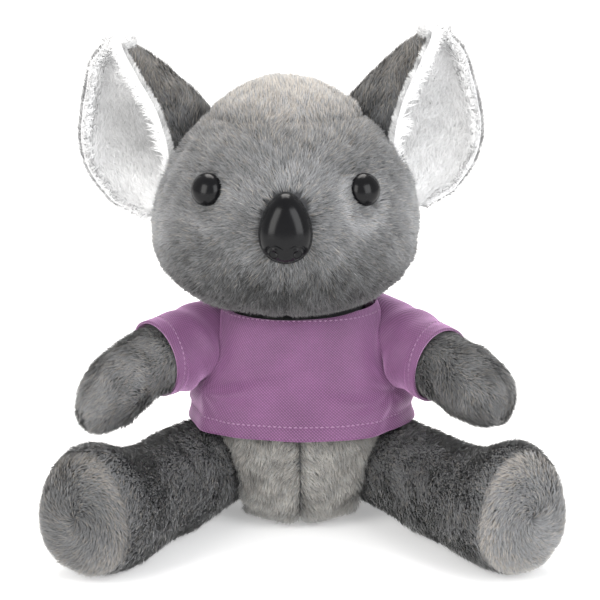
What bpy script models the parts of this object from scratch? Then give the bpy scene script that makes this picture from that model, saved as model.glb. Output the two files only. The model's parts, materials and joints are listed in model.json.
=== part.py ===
"""A seated plush koala in a T-shirt: sewn fur panels over fibre fill, cup ears, snap-in eyes and nose.

Every soft form is a coarse cage of rings with a Subdivision Surface. A limb's root is round about its
joint and sits in a socket of the same centre, swept over the joint's range, so that it turns freely.
Metres, +Z up. The toy looks along -Y, and the viewer's left is -X. Left and right are the viewer's.
"""

import math

import bmesh
import bpy
from mathutils import Matrix, Vector

# Fabric, seams and clearances
FUR_CLOTH = 0.0022
SEAM_GAP = 0.0003
FILL_GAP = 0.0004
TURN_GAP = 0.0005
SEAT_FLAT = 0.0005
CUT_OVERRUN = 0.01
CUT_REACH = 0.3

# Head
HEAD_WIDTH = 0.099
HEAD_HEIGHT = 0.086
HEAD_FRONT = 0.044
HEAD_BACK = 0.041
HEAD_ASIDE = -0.005
HEAD_FORWARD = 0.005
NECK_HEIGHT = 0.079
CROWN_SEAM_ABOVE_NECK = 0.071
HEAD_SIDE_SEAM_BACK = 0.004

# Ears
EAR_FOOT_ABOVE_NECK = {"left": 0.0315, "right": 0.0355}
EAR_HEIGHT = 0.067
EAR_WIDTH = 0.048
EAR_DEPTH = 0.026
EAR_OUT = {"left": 0.045, "right": 0.042}
EAR_LEAN = {"left": 0.016, "right": 0.012}
EAR_BACK = 0.008
EAR_CLOTH = 0.0016
EAR_LINING = 0.0016
EAR_LINING_SHARE = 0.96

# Eyes
EYE_DIAMETER = 0.0118
EYE_DOME = 0.0045
EYE_RIM = 0.0008
EYE_SUNK = 0.001
EYE_OUT = 0.0281
EYE_ABOVE_NECK = 0.051
EYE_SHANK_DIAMETER = 0.0034
SHANK_LENGTH = 0.0062
WASHER_DIAMETER = 0.0115
WASHER_THICKNESS = 0.0011

# Nose
NOSE_WIDTH = 0.0186
NOSE_HEIGHT = 0.0252
NOSE_DOME = 0.0078
NOSE_SUNK = 0.0016
NOSE_ABOVE_NECK = 0.040
NOSE_LEAN_DEG = 7.0
NOSE_SHANK_DIAMETER = 0.0046
NOSTRIL_DIAMETER = 0.0042
NOSTRIL_GROOVE = 0.0009
NOSTRIL_APART = 0.0084
NOSTRIL_BELOW_MIDDLE = 0.0086

# Torso
TORSO_WIDTH = 0.075
TORSO_FRONT = 0.036
TORSO_BACK = 0.031
TORSO_UNDER_HEAD = 0.003
TORSO_SIDE_SEAM_BACK = 0.003

# T-shirt
SHIRT_CLOTH = 0.0011
SHIRT_EASE = 0.0007
SHIRT_FLARE = 0.0016
SHIRT_FLARE_LENGTH = 0.026
SHIRT_HEM_HEIGHT = 0.038
SHIRT_SIDE_SEAM_BACK = 0.002
NECK_HOLE_WIDTH = 0.054
NECK_HOLE_DEPTH = 0.05
HEM_FOLD = 0.0008
HEM_FOLD_COUNT = 5

# Arms
HAND_WIDTH = 0.029
ARM_LENGTH = 0.0595
ARM_ROOT = 0.0147
SHOULDER_OUT = 0.0325
SHOULDER_FORWARD = 0.003
SHOULDER_HEIGHT = 0.0655
SHOULDER_LEAN_DEG = {"left": (38.0, 6.0), "right": (44.0, 9.5)}
ARM_BEND_FROM = 0.029
ARM_BEND_DEG = {"left": 23.0, "right": 9.0}
ARM_RAISE_DEG = (0.0, 25.0)

# Sleeves
SLEEVE_RADIUS = 0.0147
SLEEVE_LENGTH = 0.025
SLEEVE_ROOT = 0.0085

# Legs
LEG_DIAMETER = 0.0365
FOOT_WIDTH = 0.042
FOOT_HEIGHT = 0.0495
LEG_LENGTH = 0.0935
HIP_OUT = 0.031
HIP_FORWARD = 0.004
HIP_HEIGHT = 0.0195
HIP_SPREAD_DEG = {"left": 30.5, "right": 32.5}
SOLE_SEAM_BACK = 0.009
LEG_DROP_DEG = (-30.0, 0.0)

# Rings of each soft form: place along the form, half width, and reach to its two other sides.
# All are shares of the form's own size, which the finished form is then fitted to.
HEAD_RING_SHARES = (
    (0.000, 0.40, 0.40, 0.42),
    (0.035, 0.64, 0.63, 0.65),
    (0.120, 0.85, 0.82, 0.86),
    (0.240, 0.97, 0.95, 0.97),
    (0.390, 1.00, 1.00, 1.00),
    (0.550, 0.93, 0.98, 0.97),
    (0.720, 0.79, 0.88, 0.82),
    (0.870, 0.56, 0.64, 0.57),
    (0.970, 0.29, 0.33, 0.29),
    (1.000, 0.13, 0.15, 0.13),
)
TORSO_RING_SHARES = (
    (0.00, 0.50, 0.55, 0.56),
    (0.05, 0.76, 0.80, 0.84),
    (0.20, 0.95, 0.98, 0.98),
    (0.42, 1.00, 1.00, 1.00),
    (0.64, 0.94, 0.90, 0.86),
    (0.84, 0.86, 0.80, 0.74),
    (0.97, 0.72, 0.68, 0.62),
    (1.00, 0.50, 0.46, 0.44),
)
LEG_RING_SHARES = (
    (0.000, 0.28, 0.20, 0.30),
    (0.040, 0.58, 0.41, 0.61),
    (0.160, 0.86, 0.60, 0.91),
    (0.420, 0.88, 0.62, 0.95),
    (0.640, 0.88, 0.64, 1.00),
    (0.760, 0.93, 0.80, 1.00),
    (0.870, 1.00, 1.00, 0.98),
    (0.940, 0.94, 0.94, 0.91),
    (0.980, 0.82, 0.80, 0.78),
    (1.000, 0.50, 0.48, 0.46),
)
# The leg's rings that its hollow keeps: those at the dip above the ankle, and every second one elsewhere.
LEG_INNER_ROWS = (0, 2, 4, 5, 6, 8, 9)
ARM_RING_SHARES = (
    (0.00, 0.30, 0.30, 0.30),
    (0.05, 0.58, 0.58, 0.58),
    (0.12, 0.73, 0.73, 0.73),
    (0.30, 0.79, 0.79, 0.79),
    (0.50, 0.79, 0.79, 0.79),
    (0.64, 0.88, 0.88, 0.88),
    (0.79, 1.00, 1.00, 1.00),
    (0.93, 0.79, 0.80, 0.78),
    (1.00, 0.44, 0.46, 0.44),
)
SLEEVE_RING_SHARES = (
    (0.00, 0.77, 0.77, 0.77),
    (0.13, 0.91, 0.91, 0.91),
    (0.28, 0.96, 0.96, 0.96),
    (0.80, 0.98, 0.98, 0.98),
    (1.00, 1.00, 1.00, 1.00),
)
NOSE_RING_SHARES = (
    (0.00, 0.93, 0.93, 0.93),
    (0.16, 1.00, 1.00, 1.00),
    (0.50, 0.92, 0.92, 0.93),
    (0.80, 0.66, 0.66, 0.70),
    (1.00, 0.26, 0.26, 0.30),
)
NOSE_EGG_SHARE = 0.2
# Ear sections from its foot to its tip: height, how far out its middle lies, half width, half depth.
EAR_SECTION_SHARES = (
    (0.00, -0.27, 0.50, 0.45),
    (0.10, -0.13, 0.85, 0.76),
    (0.28, 0.07, 1.07, 0.96),
    (0.45, 0.17, 1.12, 1.00),
    (0.63, 0.33, 0.97, 0.96),
    (0.76, 0.55, 0.75, 0.86),
    (0.89, 0.81, 0.46, 0.64),
    (1.00, 1.00, 0.14, 0.30),
)
EAR_SWEEP_DEG = (192.0, -78.0)
EAR_ROWS = 10
EAR_COLUMNS = 8

# How many sides the cages have
LARGE_SIDES = 12
LIMB_SIDES = 8
INNER_SIDES = 8
ROUND_STEPS = 12
GROOVE_SIDES = 6
BALL_STEPS = 12
DOME_STEPS = 4

TAU = 2.0 * math.pi


# Scene and materials


def clear_scene():
    """Removes every object that the file starts with."""
    for obj in list(bpy.data.objects):
        bpy.data.objects.remove(obj, do_unlink=True)


def new_collection(name):
    """Returns a new collection linked to the scene."""
    collection = bpy.data.collections.new(name)
    bpy.context.scene.collection.children.link(collection)
    return collection


def finish(name, colour, roughness, metallic=0.0):
    """Returns a Principled material of one colour."""
    material = bpy.data.materials.new(name)
    material.use_nodes = True
    shader = material.node_tree.nodes["Principled BSDF"]
    shader.inputs["Base Color"].default_value = (*colour, 1.0)
    shader.inputs["Roughness"].default_value = roughness
    shader.inputs["Metallic"].default_value = metallic
    material.diffuse_color = (*colour, 1.0)
    return material


def materials():
    """Returns the object's finishes by name."""
    return {
        "grey_fur": finish("grey_fur", (0.22, 0.22, 0.225), 0.9),
        "pale_fur": finish("pale_fur", (0.27, 0.265, 0.255), 0.9),
        "white_fur": finish("white_fur", (0.82, 0.82, 0.83), 0.9),
        "black_gloss": finish("black_gloss", (0.01, 0.01, 0.011), 0.12),
        "washer_plastic": finish("washer_plastic", (0.75, 0.75, 0.72), 0.5),
        "purple_knit": finish("purple_knit", (0.26, 0.12, 0.25), 0.8),
        "white_fill": finish("white_fill", (0.85, 0.85, 0.84), 1.0),
    }


# Building blocks


class Workshop:
    """Holds the collections, the materials and the empties that carry the parts."""

    def __init__(self):
        self.parts = new_collection("plush_koala")
        self.cutters = new_collection("cutters")
        self.materials = materials()

    def carrier(self, name, place, parent=None, turn=None):
        """Returns an empty at a place, turned by a matrix, that carries what moves with it."""
        empty = bpy.data.objects.new(name, None)
        self.parts.objects.link(empty)
        empty.parent = parent
        rest = Matrix.Translation(place)
        empty.matrix_local = rest @ turn.to_4x4() if turn else rest
        return empty

    def part(self, name, mesh, carrier, material):
        """Returns a node of the object, carried by an empty."""
        obj = bpy.data.objects.new(name, mesh)
        self.parts.objects.link(obj)
        obj.parent = carrier
        obj.data.materials.clear()
        obj.data.materials.append(self.materials[material])
        return obj

    def cutter(self, name, mesh, carrier):
        """Returns a hidden shape that other shapes are cut by."""
        obj = bpy.data.objects.new(name, mesh)
        self.cutters.objects.link(obj)
        obj.parent = carrier
        obj.hide_render = True
        obj.display_type = "WIRE"
        return obj


def smooth(obj, levels):
    """Adds a Subdivision Surface whose render level is its viewport level."""
    modifier = obj.modifiers.new("smooth", "SUBSURF")
    modifier.levels = levels
    modifier.render_levels = levels


def combine(obj, other, operation, solver="EXACT"):
    """Adds a Boolean of another mesh object."""
    modifier = obj.modifiers.new(operation.lower(), "BOOLEAN")
    modifier.operation = operation
    modifier.object = other
    modifier.solver = solver


def cut(obj, *cutters):
    """Cuts an object by each of the cutters."""
    for cutter in cutters:
        combine(obj, cutter, "DIFFERENCE")


def cut_thin(obj, *cutters):
    """Cuts a thin shell by each of the cutters, where the exact solver loses faces."""
    for cutter in cutters:
        combine(obj, cutter, "DIFFERENCE", "MANIFOLD")


def keep(obj, *regions):
    """Keeps only what of a thin shell lies in every one of the regions."""
    for region in regions:
        combine(obj, region, "INTERSECT", "MANIFOLD")


def mesh_of(bm, name):
    """Returns a smooth-shaded mesh of a bmesh, with its faces turned outwards."""
    bmesh.ops.recalc_face_normals(bm, faces=bm.faces)
    mesh = bpy.data.meshes.new(name)
    bm.to_mesh(mesh)
    bm.free()
    mesh.shade_smooth()
    return mesh


def evaluated_box(obj, place=Matrix()):
    """Returns the lowest and highest corner of an object's evaluated mesh, brought to a place."""
    evaluated = obj.evaluated_get(bpy.context.evaluated_depsgraph_get())
    points = [place @ vertex.co for vertex in evaluated.to_mesh().vertices]
    evaluated.to_mesh_clear()
    low = Vector([min(point[axis] for point in points) for axis in range(3)])
    high = Vector([max(point[axis] for point in points) for axis in range(3)])
    return low, high


def fit_mesh(mesh, levels, low, high):
    """Scales a cage so that its smoothed surface fills the box from low to high."""
    trial = bpy.data.objects.new("trial", mesh)
    bpy.context.scene.collection.objects.link(trial)
    smooth(trial, levels)
    bpy.context.view_layer.update()
    was_low, was_high = evaluated_box(trial)
    bpy.data.objects.remove(trial, do_unlink=True)
    for vertex in mesh.vertices:
        for axis in range(3):
            span = was_high[axis] - was_low[axis]
            share = (vertex.co[axis] - was_low[axis]) / span
            vertex.co[axis] = low[axis] + share * (high[axis] - low[axis])


def ring_point(angle, half_width, plus, minus, egg_share=0.0, fold=0.0, fold_count=0):
    """Returns a point of an oval with unlike reaches to +Y and -Y, narrowed to +Y by egg_share."""
    swell = 1.0 + fold * math.cos(fold_count * angle)
    across = half_width * math.cos(angle) * (1.0 - egg_share * math.sin(angle))
    reach = plus if math.sin(angle) > 0 else minus
    return across * swell, reach * math.sin(angle) * swell


def ring_cage(name, rings, sides, shape=ring_point):
    """Returns a closed cage mesh: a tube of rings along Z, each ring shaped by its own sizes."""
    bm = bmesh.new()
    bmesh.ops.create_circle(bm, cap_ends=True, segments=sides, radius=1.0)
    edges = list(bm.edges)
    for _ in rings[1:]:
        grown = bmesh.ops.extrude_edge_only(bm, edges=edges)["geom"]
        raised = [item for item in grown if isinstance(item, bmesh.types.BMVert)]
        bmesh.ops.translate(bm, vec=(0, 0, 1), verts=raised)
        edges = [
            item
            for item in grown
            if isinstance(item, bmesh.types.BMEdge) and all(v in raised for v in item.verts)
        ]
    bmesh.ops.contextual_create(bm, geom=edges)
    for vertex in bm.verts:
        along, half_width, plus, minus = rings[round(vertex.co.z)]
        angle = math.atan2(vertex.co.y, vertex.co.x)
        vertex.co = (*shape(angle, half_width, plus, minus), along)
    return mesh_of(bm, name)


def soft_mesh(name, ring_shares, sides, levels, low, high):
    """Returns a cage of rings fitted to a box. Its middle line is where the two reaches meet."""
    middle = 0.5 * (low.x + high.x)
    rings = [
        (
            low.z + share[0] * (high.z - low.z),
            share[1] * (high.x - middle),
            share[2] * high.y,
            share[3] * -low.y,
        )
        for share in ring_shares
    ]
    mesh = ring_cage(name, rings, sides)
    fit_mesh(mesh, levels, low, high)
    return mesh


def droop(mesh, beyond, slope):
    """Bends a form that lies along Z down towards -Y, beyond a place along it."""
    for vertex in mesh.vertices:
        vertex.co.y -= max(vertex.co.z - beyond, 0.0) * slope


def shrunk(low, high, by):
    """Returns a box drawn in by one length on every side."""
    inset = Vector((by, by, by))
    return low + inset, high - inset


def box_mesh(name, low, high):
    """Returns a box between two corners."""
    bm = bmesh.new()
    size = high - low
    place = Matrix.Translation(0.5 * (low + high)) @ Matrix.Diagonal((*size, 1.0))
    bmesh.ops.create_cube(bm, size=1.0, matrix=place)
    return mesh_of(bm, name)


def turned_mesh(name, profile, ring=False, steps=ROUND_STEPS):
    """Returns a solid turned about Z from (radius, height), top first. A ring's outline is closed."""
    bm = bmesh.new()
    points = [bm.verts.new((radius, 0, height)) for radius, height in profile]
    after = points[1:] + points[:1] if ring else points[1:]
    edges = [bm.edges.new(pair) for pair in zip(points, after)]
    bmesh.ops.spin(
        bm,
        geom=points + edges,
        cent=(0, 0, 0),
        axis=(0, 0, 1),
        angle=TAU,
        steps=steps,
        use_merge=True,
    )
    bmesh.ops.remove_doubles(bm, verts=bm.verts, dist=SEAM_GAP * SEAM_GAP)
    return mesh_of(bm, name)


def ball_hull_mesh(name, radius, centres):
    """Returns the hull of equal balls: a ball, a capsule, or the space that a swinging rod sweeps."""
    ball = bmesh.new()
    outside = radius / math.cos(math.pi / BALL_STEPS) ** 2
    bmesh.ops.create_uvsphere(
        ball, u_segments=BALL_STEPS, v_segments=BALL_STEPS // 2, radius=outside
    )
    bm = bmesh.new()
    for centre in centres:
        for vertex in ball.verts:
            bm.verts.new(vertex.co + centre)
    ball.free()
    hull = bmesh.ops.convex_hull(bm, input=bm.verts)
    spare = {item for item in hull["geom_interior"] if isinstance(item, bmesh.types.BMVert)}
    spare |= {vertex for vertex in bm.verts if not vertex.link_faces}
    bmesh.ops.delete(bm, geom=list(spare), context="VERTS")
    return mesh_of(bm, name)


def swing_sweep_mesh(name, radius, length, swing_deg):
    """Returns what a rod along Z sweeps as it swings about X through the origin."""
    steps = 3
    tips = []
    for step in range(steps + 1):
        angle = math.radians(swing_deg[0] + (swing_deg[1] - swing_deg[0]) * step / steps)
        tips.append(Vector((0, math.sin(angle) * length, math.cos(angle) * length)))
    return ball_hull_mesh(name, radius, [Vector((0, 0, 0)), *tips])


def seat_on(form, start, direction, graph):
    """Returns where a ray meets a form, and the form's normal there."""
    hit, place, normal, _ = form.evaluated_get(graph).ray_cast(start, direction)
    if not hit:
        raise ValueError(f"nothing of {form.name} lies in front of {tuple(start)}")
    return place, normal


def facing(normal):
    """Returns the turn that puts +Z along a normal and keeps +Y as near upright as it can be."""
    ahead = normal.normalized()
    across = Vector((0, 0, 1)).cross(ahead).normalized()
    return Matrix((across, ahead.cross(across), ahead)).transposed()


# Soft forms, each a skin of panels over a fill


class SoftForm:
    """One stuffed form: its outer cage, the hollow for its fill, and the fill itself."""

    def __init__(self, shop, name, ring_shares, sides, low, high, carrier, bend=None, inner_shares=None):
        self.shop = shop
        self.name = name
        self.bend = bend
        self.ring_shares = ring_shares
        self.inner_shares = inner_shares or ring_shares[:-1:2] + ring_shares[-1:]
        self.sides = sides
        self.low = low
        self.high = high
        self.carrier = carrier
        self.outer = self.mesh("outer")
        self.solid = self.form_cutter("solid", self.outer.copy())
        self.hollow = self.form_cutter("hollow", self.inner_mesh("hollow", FUR_CLOTH))

    def mesh(self, use, grown=0.0):
        """Returns the form's cage, grown by a clearance."""
        return self.fitted(use, self.ring_shares, self.sides, -grown)

    def inner_mesh(self, use, inset):
        """Returns a plainer cage that lies inside the form, drawn in by an inset."""
        return self.fitted(use, self.inner_shares, INNER_SIDES, inset)

    def fitted(self, use, ring_shares, sides, inset):
        """Returns a cage of rings fitted to the form's box, drawn in by an inset."""
        low, high = shrunk(self.low, self.high, inset)
        mesh = soft_mesh(f"{self.name}_{use}", ring_shares, sides, 1, low, high)
        if self.bend:
            droop(mesh, *self.bend)
        return mesh

    def form_cutter(self, use, cage):
        """Returns a smoothed cage as a cutter."""
        cutter = self.shop.cutter(f"{self.name}_{use}", cage, self.carrier)
        smooth(cutter, 1)
        return cutter

    def panel(self, name, material, *regions):
        """Returns one panel of the skin: what of the shell lies in the regions."""
        obj = self.shop.part(name, self.outer.copy(), self.carrier, material)
        smooth(obj, 1)
        cut(obj, self.hollow)
        keep(obj, *regions)
        return obj

    def fill(self, name):
        """Returns the fibre fill."""
        cage = self.inner_mesh("fill", FUR_CLOTH + FILL_GAP)
        obj = self.shop.part(name, cage, self.carrier, "white_fill")
        smooth(obj, 1)
        return obj


def region(shop, name, carrier, low=(None, None, None), high=(None, None, None)):
    """Returns a cutter box that is open-ended wherever a bound is left out."""
    least = Vector([-CUT_REACH if bound is None else bound for bound in low])
    most = Vector([CUT_REACH if bound is None else bound for bound in high])
    return shop.cutter(name, box_mesh(name, least, most), carrier)


def widest_outline(form, up_to):
    """Returns (radius, height) of an evaluated form about its own Z axis, up to a height."""
    graph = bpy.context.evaluated_depsgraph_get()
    evaluated = form.evaluated_get(graph)
    mesh = evaluated.to_mesh()
    reach = {}
    for vertex in mesh.vertices:
        level = round(vertex.co.z / SEAM_GAP)
        radius = math.hypot(vertex.co.x, vertex.co.y)
        if vertex.co.z <= up_to and radius > reach.get(level, (0.0, 0.0))[0]:
            reach[level] = (radius, vertex.co.z)
    evaluated.to_mesh_clear()
    return [reach[level] for level in sorted(reach)]


# Head


def build_head(shop, neck):
    """Builds the head's four panels and its fill. Returns the form and the parts by name."""
    low = Vector((-0.5 * HEAD_WIDTH, -HEAD_FRONT, 0))
    high = Vector((0.5 * HEAD_WIDTH, HEAD_BACK, HEAD_HEIGHT))
    form = SoftForm(shop, "head", HEAD_RING_SHARES, LARGE_SIDES, low, high, neck)
    half_gap = 0.5 * SEAM_GAP
    seam = HEAD_SIDE_SEAM_BACK
    crown = CROWN_SEAM_ABOVE_NECK
    above = region(shop, "crown_side", neck, (None, None, crown + half_gap), (None, seam - half_gap, None))
    left = region(shop, "cheek_left_side", neck, high=(-half_gap, seam - half_gap, crown - half_gap))
    right = region(
        shop, "cheek_right_side", neck, (half_gap, None, None), (None, seam - half_gap, crown - half_gap)
    )
    behind = region(shop, "head_back_side", neck, low=(None, seam + half_gap, None))
    parts = {
        "crown": form.panel("head_crown_panel", "grey_fur", above),
        "left": form.panel("head_cheek_panel_left", "grey_fur", left),
        "right": form.panel("head_cheek_panel_right", "grey_fur", right),
        "back": form.panel("head_back_panel", "grey_fur", behind),
        "fill": form.fill("head_fill"),
    }
    return form, parts


def turning_head_cutter(shop, form, neck):
    """Returns what the head's underside sweeps as it turns about its neck, with running clearance."""
    outline = widest_outline(form.solid, 0.5 * HEAD_HEIGHT)
    lowest = outline[0][1]
    profile = [(0, outline[-1][1]), (outline[-1][0] + TURN_GAP, outline[-1][1])]
    profile += [(radius + TURN_GAP, height - TURN_GAP) for radius, height in reversed(outline[1:-1])]
    profile.append((outline[0][0] + TURN_GAP, lowest - TURN_GAP))
    profile.append((0, lowest - TURN_GAP))
    mesh = turned_mesh("turning_head", profile, steps=LARGE_SIDES * 2)
    return shop.cutter("turning_head", mesh, neck)


# Snap-in fittings


def fitting_pocket_mesh(name, recess, shank, sunk):
    """Returns the pocket for a fitting: the recess of its face, its shank's hole, its washer's room."""
    washer_top = -FUR_CLOTH
    washer_low = washer_top - WASHER_THICKNESS - 2 * SEAM_GAP
    profile = [
        (0, CUT_OVERRUN),
        (recess + SEAM_GAP, CUT_OVERRUN),
        (recess + SEAM_GAP, -sunk - SEAM_GAP),
        (shank + SEAM_GAP, -sunk - SEAM_GAP),
        (shank + SEAM_GAP, washer_top),
        (0.5 * WASHER_DIAMETER + SEAM_GAP, washer_top),
        (0.5 * WASHER_DIAMETER + SEAM_GAP, washer_low),
        (shank + SEAM_GAP, washer_low),
        (shank + SEAM_GAP, -SHANK_LENGTH - SEAM_GAP),
        (0, -SHANK_LENGTH - SEAM_GAP),
    ]
    return turned_mesh(name, profile)


def washer_mesh(name, shank):
    """Returns a lock washer: a dished ring that grips the shank behind the cloth."""
    top = -FUR_CLOTH - SEAM_GAP
    low = top - WASHER_THICKNESS
    inner = shank + SEAM_GAP
    outer = 0.5 * WASHER_DIAMETER
    bevel = 0.3 * WASHER_THICKNESS
    outline = [
        (inner, top),
        (outer - bevel, top),
        (outer, top - bevel),
        (outer, low + bevel),
        (outer - bevel, low),
        (inner, low),
    ]
    return turned_mesh(name, outline, ring=True)


def eye_mesh(name):
    """Returns a domed eye on its shank, its rim's underside at minus the depth that it is sunk."""
    radius = 0.5 * EYE_DIAMETER
    profile = []
    for step in range(DOME_STEPS + 1):
        angle = 0.5 * math.pi * (1.0 - step / DOME_STEPS)
        profile.append((radius * math.cos(angle), EYE_DOME * math.sin(angle)))
    profile[0] = (0, EYE_DOME)
    profile += [
        (radius, -EYE_SUNK + EYE_RIM * 0.5),
        (radius - EYE_RIM * 0.5, -EYE_SUNK),
        (0.5 * EYE_SHANK_DIAMETER, -EYE_SUNK),
        (0.5 * EYE_SHANK_DIAMETER, -SHANK_LENGTH),
        (0, -SHANK_LENGTH),
    ]
    return turned_mesh(name, profile)


def build_eye(shop, side, out, head_form, head_parts, neck):
    """Seats one eye on the cheek, with its washer behind the cloth."""
    graph = bpy.context.evaluated_depsgraph_get()
    start = Vector((out, -2 * HEAD_FRONT, EYE_ABOVE_NECK))
    place, normal = seat_on(head_form.solid, start, Vector((0, 1, 0)), graph)
    seat = shop.carrier(f"eye_{side}_seat", place, neck, facing(normal))
    pocket_mesh = fitting_pocket_mesh("eye_pocket", 0.5 * EYE_DIAMETER, 0.5 * EYE_SHANK_DIAMETER, EYE_SUNK)
    pocket = shop.cutter(f"eye_pocket_{side}", pocket_mesh, seat)
    cut(head_parts[side], pocket)
    cut(head_parts["fill"], pocket)
    shop.part(f"eye_{side}", eye_mesh("eye"), seat, "black_gloss")
    washer = washer_mesh("eye_washer", 0.5 * EYE_SHANK_DIAMETER)
    shop.part(f"eye_washer_{side}", washer, seat, "washer_plastic")


def egg_ring(angle, half_width, plus, minus):
    """Returns a point of the nose's outline, which narrows towards its top."""
    return ring_point(angle, half_width, plus, minus, NOSE_EGG_SHARE)


def nose_mesh(name, grown):
    """Returns the nose's smoothed cage, grown by a clearance."""
    middle = 0.5 * NOSE_HEIGHT
    rings = [
        (along * NOSE_DOME, wide * NOSE_WIDTH, up * middle, down * middle)
        for along, wide, up, down in NOSE_RING_SHARES
    ]
    mesh = ring_cage(name, rings, LIMB_SIDES, egg_ring)
    low = Vector((-0.5 * NOSE_WIDTH, -middle, -NOSE_SUNK))
    high = Vector((0.5 * NOSE_WIDTH, middle, NOSE_DOME))
    fit_mesh(mesh, 1, *shrunk(low, high, -grown))
    return mesh


def build_nose(shop, head_form, head_parts, neck):
    """Seats the nose over the centre seam: a glossy egg with two ringed nostrils, a shank, a washer."""
    graph = bpy.context.evaluated_depsgraph_get()
    start = Vector((0, -2 * HEAD_FRONT, NOSE_ABOVE_NECK))
    place, _ = seat_on(head_form.solid, start, Vector((0, 1, 0)), graph)
    lean = math.radians(NOSE_LEAN_DEG)
    seat = shop.carrier("nose_seat", place, neck, facing(Vector((0, -math.cos(lean), math.sin(lean)))))
    bed = shop.cutter("nose_bed", nose_mesh("nose_bed", SEAM_GAP), seat)
    smooth(bed, 1)
    shank = 0.5 * NOSE_SHANK_DIAMETER
    pocket = shop.cutter("nose_pocket", fitting_pocket_mesh("nose_pocket", shank, shank, NOSE_SUNK), seat)
    for part in ("left", "right", "fill"):
        cut(head_parts[part], bed, pocket)
    nose = shop.part("nose", nose_mesh("nose", 0.0), seat, "black_gloss")
    smooth(nose, 1)
    stem_profile = [(0, 0), (shank, 0), (shank, -SHANK_LENGTH), (0, -SHANK_LENGTH)]
    stem = shop.cutter("nose_stem", turned_mesh("nose_stem", stem_profile), seat)
    combine(nose, stem, "UNION")
    for side, sign in (("left", -1), ("right", 1)):
        cut(nose, nostril_cutter(shop, side, sign, seat, nose, graph))
    shop.part("nose_washer", washer_mesh("nose_washer", shank), seat, "washer_plastic")


def nostril_cutter(shop, side, sign, seat, nose, graph):
    """Returns a ring that grooves the nose round one nostril."""
    graph.update()
    start = Vector((0.5 * sign * NOSTRIL_APART, -NOSTRIL_BELOW_MIDDLE, 2 * NOSE_DOME))
    place, normal = seat_on(nose, start, Vector((0, 0, -1)), graph)
    carrier = shop.carrier(f"nostril_{side}_seat", place, seat, facing(normal))
    bm = bmesh.new()
    bmesh.ops.create_circle(
        bm,
        segments=GROOVE_SIDES,
        radius=0.5 * NOSTRIL_GROOVE,
        matrix=Matrix.Translation((0.5 * NOSTRIL_DIAMETER, 0, 0)) @ Matrix.Rotation(0.5 * math.pi, 4, "X"),
    )
    geometry = list(bm.verts) + list(bm.edges)
    bmesh.ops.spin(
        bm, geom=geometry, cent=(0, 0, 0), axis=(0, 0, 1), angle=TAU, steps=ROUND_STEPS, use_merge=True
    )
    bmesh.ops.remove_doubles(bm, verts=bm.verts, dist=SEAM_GAP * SEAM_GAP)
    return shop.cutter(f"nostril_{side}", mesh_of(bm, "nostril_ring"), carrier)


# Ears


def between_rows(rows, along):
    """Returns the row of a table at a place along it, on a smooth curve through its rows."""
    last = len(rows) - 1
    upper = next((index for index in range(1, last) if rows[index][0] >= along), last)
    lower = upper - 1
    part = (along - rows[lower][0]) / (rows[upper][0] - rows[lower][0])
    before, after = rows[max(lower - 1, 0)], rows[min(upper + 1, last)]
    mixed = []
    for column in range(1, len(rows[0])):
        a, b, c, d = (row[column] for row in (before, rows[lower], rows[upper], after))
        bend = (2 * a - 5 * b + 4 * c - d) * part**2 + (3 * b - a - 3 * c + d) * part**3
        mixed.append(b + 0.5 * ((c - a) * part + bend))
    return mixed


def ear_mesh(name, sign, lean, height_share):
    """Returns an ear's open leaf, facing out: a C-shaped section that swells and closes to its tip."""
    bm = bmesh.new()
    bmesh.ops.create_grid(bm, x_segments=EAR_COLUMNS - 1, y_segments=EAR_ROWS - 1, size=1.0)
    start, end = (math.radians(angle) for angle in EAR_SWEEP_DEG)
    for vertex in bm.verts:
        around, along = 0.5 * (vertex.co.x + 1), 0.5 * (vertex.co.y + 1) * height_share
        out, wide, deep = between_rows(EAR_SECTION_SHARES, along)
        angle = start + (end - start) * around
        half = 0.5 * EAR_WIDTH * wide
        reach = 0.5 * EAR_DEPTH * deep
        aside = sign * (out * lean - half * math.cos(angle))
        vertex.co = (aside, reach * math.sin(angle), along * EAR_HEIGHT)
    if sign < 0:
        bmesh.ops.reverse_faces(bm, faces=bm.faces)
    mesh = bpy.data.meshes.new(name)
    bm.to_mesh(mesh)
    bm.free()
    mesh.shade_smooth()
    return mesh


def build_ear(shop, side, sign, head_form, neck):
    """Builds one ear: a grey back and a white lining, sewn at the rim, cut where they meet the head."""
    place = Vector((sign * EAR_OUT[side], EAR_BACK, EAR_FOOT_ABOVE_NECK[side]))
    carrier = shop.carrier(f"ear_{side}_seat", place, neck)
    clearance = head_form.form_cutter(f"ear_{side}_clearance", head_form.mesh("ear_clearance", SEAM_GAP))
    layers = (
        ("back", 0.0, 1.0, EAR_CLOTH, "grey_fur"),
        ("lining", EAR_CLOTH + 2 * SEAM_GAP, EAR_LINING_SHARE, EAR_LINING, "white_fur"),
    )
    for layer, depth, height_share, thickness, material in layers:
        mesh = ear_mesh(f"ear_{layer}", sign, EAR_LEAN[side], height_share)
        obj = shop.part(f"ear_{layer}_{side}", mesh, carrier, material)
        wall = obj.modifiers.new("wall", "SOLIDIFY")
        wall.thickness = thickness
        wall.offset = -1.0 - 2.0 * depth / thickness
        wall.use_even_offset = True
        cut(obj, clearance)


# Torso


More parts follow.
